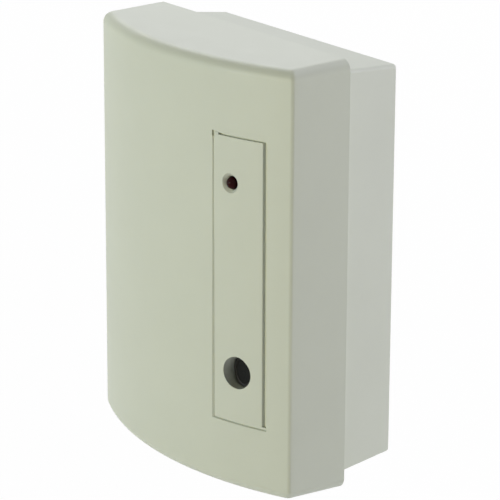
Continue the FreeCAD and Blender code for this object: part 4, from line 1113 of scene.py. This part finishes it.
def build_boot():
    """The turned boot with its bore."""
    low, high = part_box("microphone_boot")
    middle = middle_of("microphone_boot")
    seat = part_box("microphone_capsule")[1].y
    shoulder = high.y - BOOT_SHOULDER
    tip = low.y - NOSE_REACH
    outline = ((0, high.y), (BOOT_RADIUS, high.y), (BOOT_RADIUS, shoulder), (BOOT_NOSE, shoulder),
               (BOOT_NOSE, tip), (BOOT_BORE, tip), (BOOT_BORE, seat), (0, seat))
    bm = turned(outline, middle.x, middle.z)
    rings = [(BOOT_RADIUS, shoulder), (BOOT_NOSE, tip), (BOOT_BORE, tip)]
    round_rings(bm, middle, rings, BOOT_EDGE, BOOT_EDGE_SEGMENTS)
    return make_mesh_object(bm, "boot")


def build_felt():
    """A disc with a soft rim and an uneven face."""
    low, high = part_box("microphone_felt")
    middle = middle_of("microphone_felt")
    radius = (high.x - low.x) / 2
    face = low.y - NOSE_REACH
    rings = [(radius * ring / FELT_RINGS, face) for ring in range(FELT_RINGS + 1)]
    bm = turned([*rings, (radius, high.y), (0, high.y)], middle.x, middle.z)
    round_rings(bm, middle, [(radius, face)], FELT_EDGE, SMALL_SEGMENTS)
    for vert in bm.verts:
        if vert.co.y < face + NEAR:
            vert.co.y += FELT_RELIEF * abs(noise.noise(vert.co / FELT_LUMP))
    return make_mesh_object(bm, "felt_disc")


boot_rubber = layered_finish(
    "boot_rubber", (0.020, 0.020, 0.020), dark_share=0.5, roughness=(0.55, 0.75), height=0.006 * MM,
    tone={"size": 1.5 * MM, "detail": 5.0}, bumps={"size": 0.12 * MM}, values={"Specular IOR Level": 0.3},
)
dust_felt = layered_finish(
    "dust_felt", (0.011, 0.011, 0.011), dark_share=0.182, roughness=(0.95, 0.95), height=0.05 * MM,
    tone={"size": 0.35 * MM, "detail": 6.0, "distortion": 2.5, "stretch": (1, 1, 5)},
    values={"Sheen Weight": 0.05, "Specular IOR Level": 0.2},
)
dress(build_boot(), boot_rubber, "housing", ["microphone_boot"])
dress(build_felt(), dust_felt, "housing", ["microphone_felt"])

# %% [markdown]
# ## Finishes of the electronics
# The pieces inside keep their solids and get real finishes. Metals are a Principled shader at full metallic with a
# roughness that a noise breaks up, as a plating has, or a noise that is squeezed one way, as on a drawn can. Ceramics
# and moulded chips share one recipe with small pits, because both are fired or pressed from powder.

# %% Metals and ceramics


def plated(name, colour, roughness, size=0.6 * MM, stretch=None):
    """Metal with a soft plating or drawing texture."""
    return layered_finish(
        name, colour, dark_share=0.82, roughness=(roughness - 0.08, roughness + 0.1), height=0.004 * MM,
        tone={"size": size, "detail": 5.0, "stretch": stretch}, values={"Metallic": 1.0},
    )


def fired_ceramic(name, colour, roughness):
    """Ceramic or glaze with small pits."""
    return layered_finish(
        name, colour, dark_share=0.75, roughness=(roughness - 0.08, roughness + 0.08), height=0.01 * MM,
        tone={"size": 0.25 * MM, "detail": 6.0, "roughness": 0.7},
    )


# %% [markdown]
# ## Circuit board and capacitors
# A circuit board is green because of its solder mask, which shows the copper tracks under it as lighter raised lines:
# a brick pattern in the board's plane gives such lines at the pitch of the pins. An electrolytic capacitor is an
# aluminium can in a dark sleeve that leaves its top bare. Both looks fit one solid, so the direction of the true
# normal chooses between them: what faces the front is the bare top.

# %% Circuit board and can capacitors
TRACK_PITCH = 2.54 * MM
TRACK_RUN = 11.0 * MM
TRACK_WIDTH = 0.32 * MM
TRACK_OFFSET = 0.37
FACING_FRONT = -0.5


def solder_mask(name):
    """Green lacquer over copper tracks."""
    finish, tree, shader = new_finish(name)
    split = add_node(tree, "SeparateXYZ", {"Vector": object_place(tree)})
    plan = add_node(tree, "CombineXYZ", {"X": split.outputs["X"], "Y": split.outputs["Z"]})
    tracks = add_node(tree, "TexBrick", {
        "Vector": plan.outputs["Vector"], "Scale": 1.0, "Brick Width": TRACK_RUN, "Row Height": TRACK_PITCH,
        "Mortar Size": TRACK_WIDTH / 2, "Mortar Smooth": 0.3, "Mortar": (0.050, 0.240, 0.085, 1),
        "Color1": (0.020, 0.130, 0.045, 1), "Color2": (0.022, 0.140, 0.048, 1),
    })
    tracks.offset = TRACK_OFFSET
    feed(shader, {
        "Base Color": tracks.outputs["Color"],
        "Roughness": between(tree, grain(tree, 3 * MM), 0.22, 0.36),
        "Normal": relief(tree, tracks.outputs["Fac"], 0.035 * MM),
        "Coat Weight": 0.4,
    })
    return finish


def sleeved_can(name):
    """A dark shrink sleeve on the sides of a can and bare aluminium on its top."""
    finish, tree, shader = new_finish(name)
    normal = tree.nodes.new("ShaderNodeNewGeometry").outputs["True Normal"]
    split = add_node(tree, "SeparateXYZ", {"Vector": normal})
    top = calculated(tree, "LESS_THAN", split.outputs["Y"], FACING_FRONT)
    brushed = grain(tree, 0.5 * MM, detail=6.0)
    mix = tree.nodes.new("ShaderNodeMix")
    mix.data_type = "RGBA"
    feed(mix, {
        "Factor": top,
        "A": two_tones(tree, brushed, (0.015, 0.020, 0.060), (0.020, 0.026, 0.075)),
        "B": two_tones(tree, brushed, (0.60, 0.60, 0.61), (0.75, 0.75, 0.76)),
    })
    feed(shader, {
        "Base Color": mix.outputs["Result"],
        "Metallic": top,
        "Roughness": between(tree, brushed, 0.26, 0.4),
        "Normal": relief(tree, brushed, 0.004 * MM),
    })
    return finish


# %% [markdown]
# ## A finish for every node inside
# The names of the solids inside say what they are, so one table lists the names under each finish and a loop hands
# the finishes out. The last line prints which shown nodes the table forgot, and it should print none.

# %% Hand out the finishes
tinned = plated("tinned_wire", (0.72, 0.72, 0.71), 0.32)
zinc = plated("zinc_plating", (0.68, 0.69, 0.70), 0.34, size=0.4 * MM)
aluminium = plated("drawn_aluminium", (0.74, 0.74, 0.75), 0.30, stretch=(1, 6, 1))
nickel = plated("nickel_plating", (0.70, 0.68, 0.64), 0.22)
gold = plated("gold_flash", (0.80, 0.60, 0.26), 0.26)
black_epoxy = fired_ceramic("moulded_epoxy", (0.020, 0.020, 0.021), 0.52)
black_nylon = moulded_plastic("black_nylon", (0.022, 0.022, 0.023), 0.45)
FINISHED_NODES = (
    (black_nylon, "led_spacer", "tamper_switch", "jumper_header"),
    (tinned, "led_leads", "processor_pins", "amplifier_pins"),
    (zinc, "board_screws", "terminal_screws"),
    (nickel, "terminal_clamps", "crystal_can"),
    (aluminium, "microphone_capsule"),
    (gold, "jumper_pins"),
    (black_epoxy, "processor_chip", "amplifier_chip", "voltage_regulator", "supply_diodes"),
    (solder_mask("solder_mask"), "circuit_board"),
    (sleeved_can("sleeved_can"), "electrolytic_capacitors"),
    (moulded_plastic("green_nylon", (0.020, 0.130, 0.060), 0.42), "terminal_block"),
    (moulded_plastic("red_acetal", (0.45, 0.025, 0.020), 0.30), "tamper_plunger"),
    (moulded_plastic("relay_case", (0.016, 0.016, 0.018), 0.24), "alarm_relay"),
    (moulded_plastic("blue_nylon", (0.020, 0.065, 0.300), 0.38), "jumper_links"),
    (fired_ceramic("resistor_glaze", (0.030, 0.030, 0.033), 0.28), "chip_resistors"),
    (fired_ceramic("capacitor_ceramic", (0.42, 0.27, 0.15), 0.5), "chip_capacitors"),
)
finished = set()
for node_finish, *node_names in FINISHED_NODES:
    finished.update(node_names)
    for material_slot in [place for name in node_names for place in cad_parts[name].material_slots]:
        material_slot.material = node_finish
kept = {name for name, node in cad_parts.items() if not node.hide_render}
print("nodes kept:", len(kept), "without a finish of their own:", sorted(kept - finished))

# %% [markdown]
# ## Floor and backdrop
# The photograph has a pure white background and very soft light. The floor is a pale plane 30 mm below the part that
# the camera sees mostly as white, while its diffuse part still keeps the object's shadow.

# %% Stage
FLOOR_SIZE = 6.0
FLOOR_DROP = 30 * MM
FLOOR_WHITE_SHARE = 0.975
AMBIENT_STRENGTH = 0.05
WHITE = (1, 1, 1, 1)
PAPER = (0.92, 0.92, 0.92, 1)


def seen_directly(tree):
    """1 for rays that the camera, a reflection or a clear piece sends out, and 0 for the light that bounces."""
    path = tree.nodes.new("ShaderNodeLightPath")
    total = path.outputs["Is Camera Ray"]
    for kind in ("Is Glossy Ray", "Is Transmission Ray"):
        total = calculated(tree, "MAXIMUM", total, path.outputs[kind])
    return total


def show_mix(tree, share, first, second, end):
    """Mixes two shaders and plugs them into the end of the tree."""
    mix = add_node(tree, "MixShader", {"Fac": share, 1: first.outputs[0], 2: second.outputs[0]})
    feed(tree.nodes[end], {"Surface": mix.outputs["Shader"]})


def add_floor():
    """A pale floor under the object."""
    bm = bmesh.new()
    bmesh.ops.create_grid(bm, x_segments=1, y_segments=1, size=FLOOR_SIZE / 2)
    bmesh.ops.translate(bm, vec=(0, 0, -RIM_END - FLOOR_DROP), verts=bm.verts)
    floor = make_mesh_object(bm, "floor")
    finish, tree, paper = new_finish("floor_paper")
    feed(paper, {"Base Color": PAPER, "Roughness": 0.9, "Specular IOR Level": 0.1})
    share = calculated(tree, "MULTIPLY", seen_directly(tree), FLOOR_WHITE_SHARE)
    show_mix(tree, share, paper, tree.nodes.new("ShaderNodeEmission"), "Material Output")
    floor.data.materials.append(finish)


def add_world():
    """Soft light from all round, and plain white where it is seen."""
    scene.world = bpy.data.worlds.new("studio")
    scene.world.use_nodes = True
    tree = scene.world.node_tree
    soft = tree.nodes["Background"]
    feed(soft, {"Color": WHITE, "Strength": AMBIENT_STRENGTH})
    show_mix(tree, seen_directly(tree), soft, add_node(tree, "Background", {"Color": WHITE}), "World Output")


add_floor()
add_world()

# %% [markdown]
# ## Lamps
# In the photograph the top is the lightest, the front comes next and the side that is turned to the camera is the
# darkest. The roll between the top and the side has no bright band, so the light from above comes from behind and
# from the left, and the two lamps at the right stand low. The one behind lights the base more than the cover, because
# the base tapers. The front is bluish at its far edge and yellowish near the strip, which takes a cool and a warm
# lamp. The powers and tints are the mix that comes nearest to the picture on all faces at once.

# %% Lamps
# Each lamp: its place, its size in metres, its power in watts and its tint.
LAMPS = {
    "top_back": ((0.2, 1.0, 1.2), 1.0, 12.7, (0.883, 0.897, 1.0)),
    "top_left": ((-1.2, 0.6, 1.1), 1.0, 11.3, (0.989, 0.992, 1.0)),
    "far_front": ((-0.3, -2.9, 0.1), 1.3, 70.7, (1.0, 0.911, 0.603)),
    "far_left": ((-1.1, -2.7, 0.1), 1.3, 26.3, (0.133, 0.473, 1.0)),
    "right_low": ((1.5, 0.6, 0.05), 0.25, 4.5, (0.975, 1.0, 0.777)),
    "right_back": ((0.7, 1.4, 0.10), 0.4, 9.9, (0.802, 0.765, 1.0)),
}


def add_lamp(name, place, size, power, tint):
    """A square area lamp that faces the object."""
    data = bpy.data.lights.new(name, "AREA")
    data.size = size
    data.energy = power
    data.color = tint
    lamp = bpy.data.objects.new(name, data)
    lamp.location = place
    lamp.rotation_mode = "QUATERNION"
    lamp.rotation_quaternion = (-Vector(place)).to_track_quat("-Z", "Y")
    scene.collection.objects.link(lamp)


for lamp_name, settings in LAMPS.items():
    add_lamp(lamp_name, *settings)
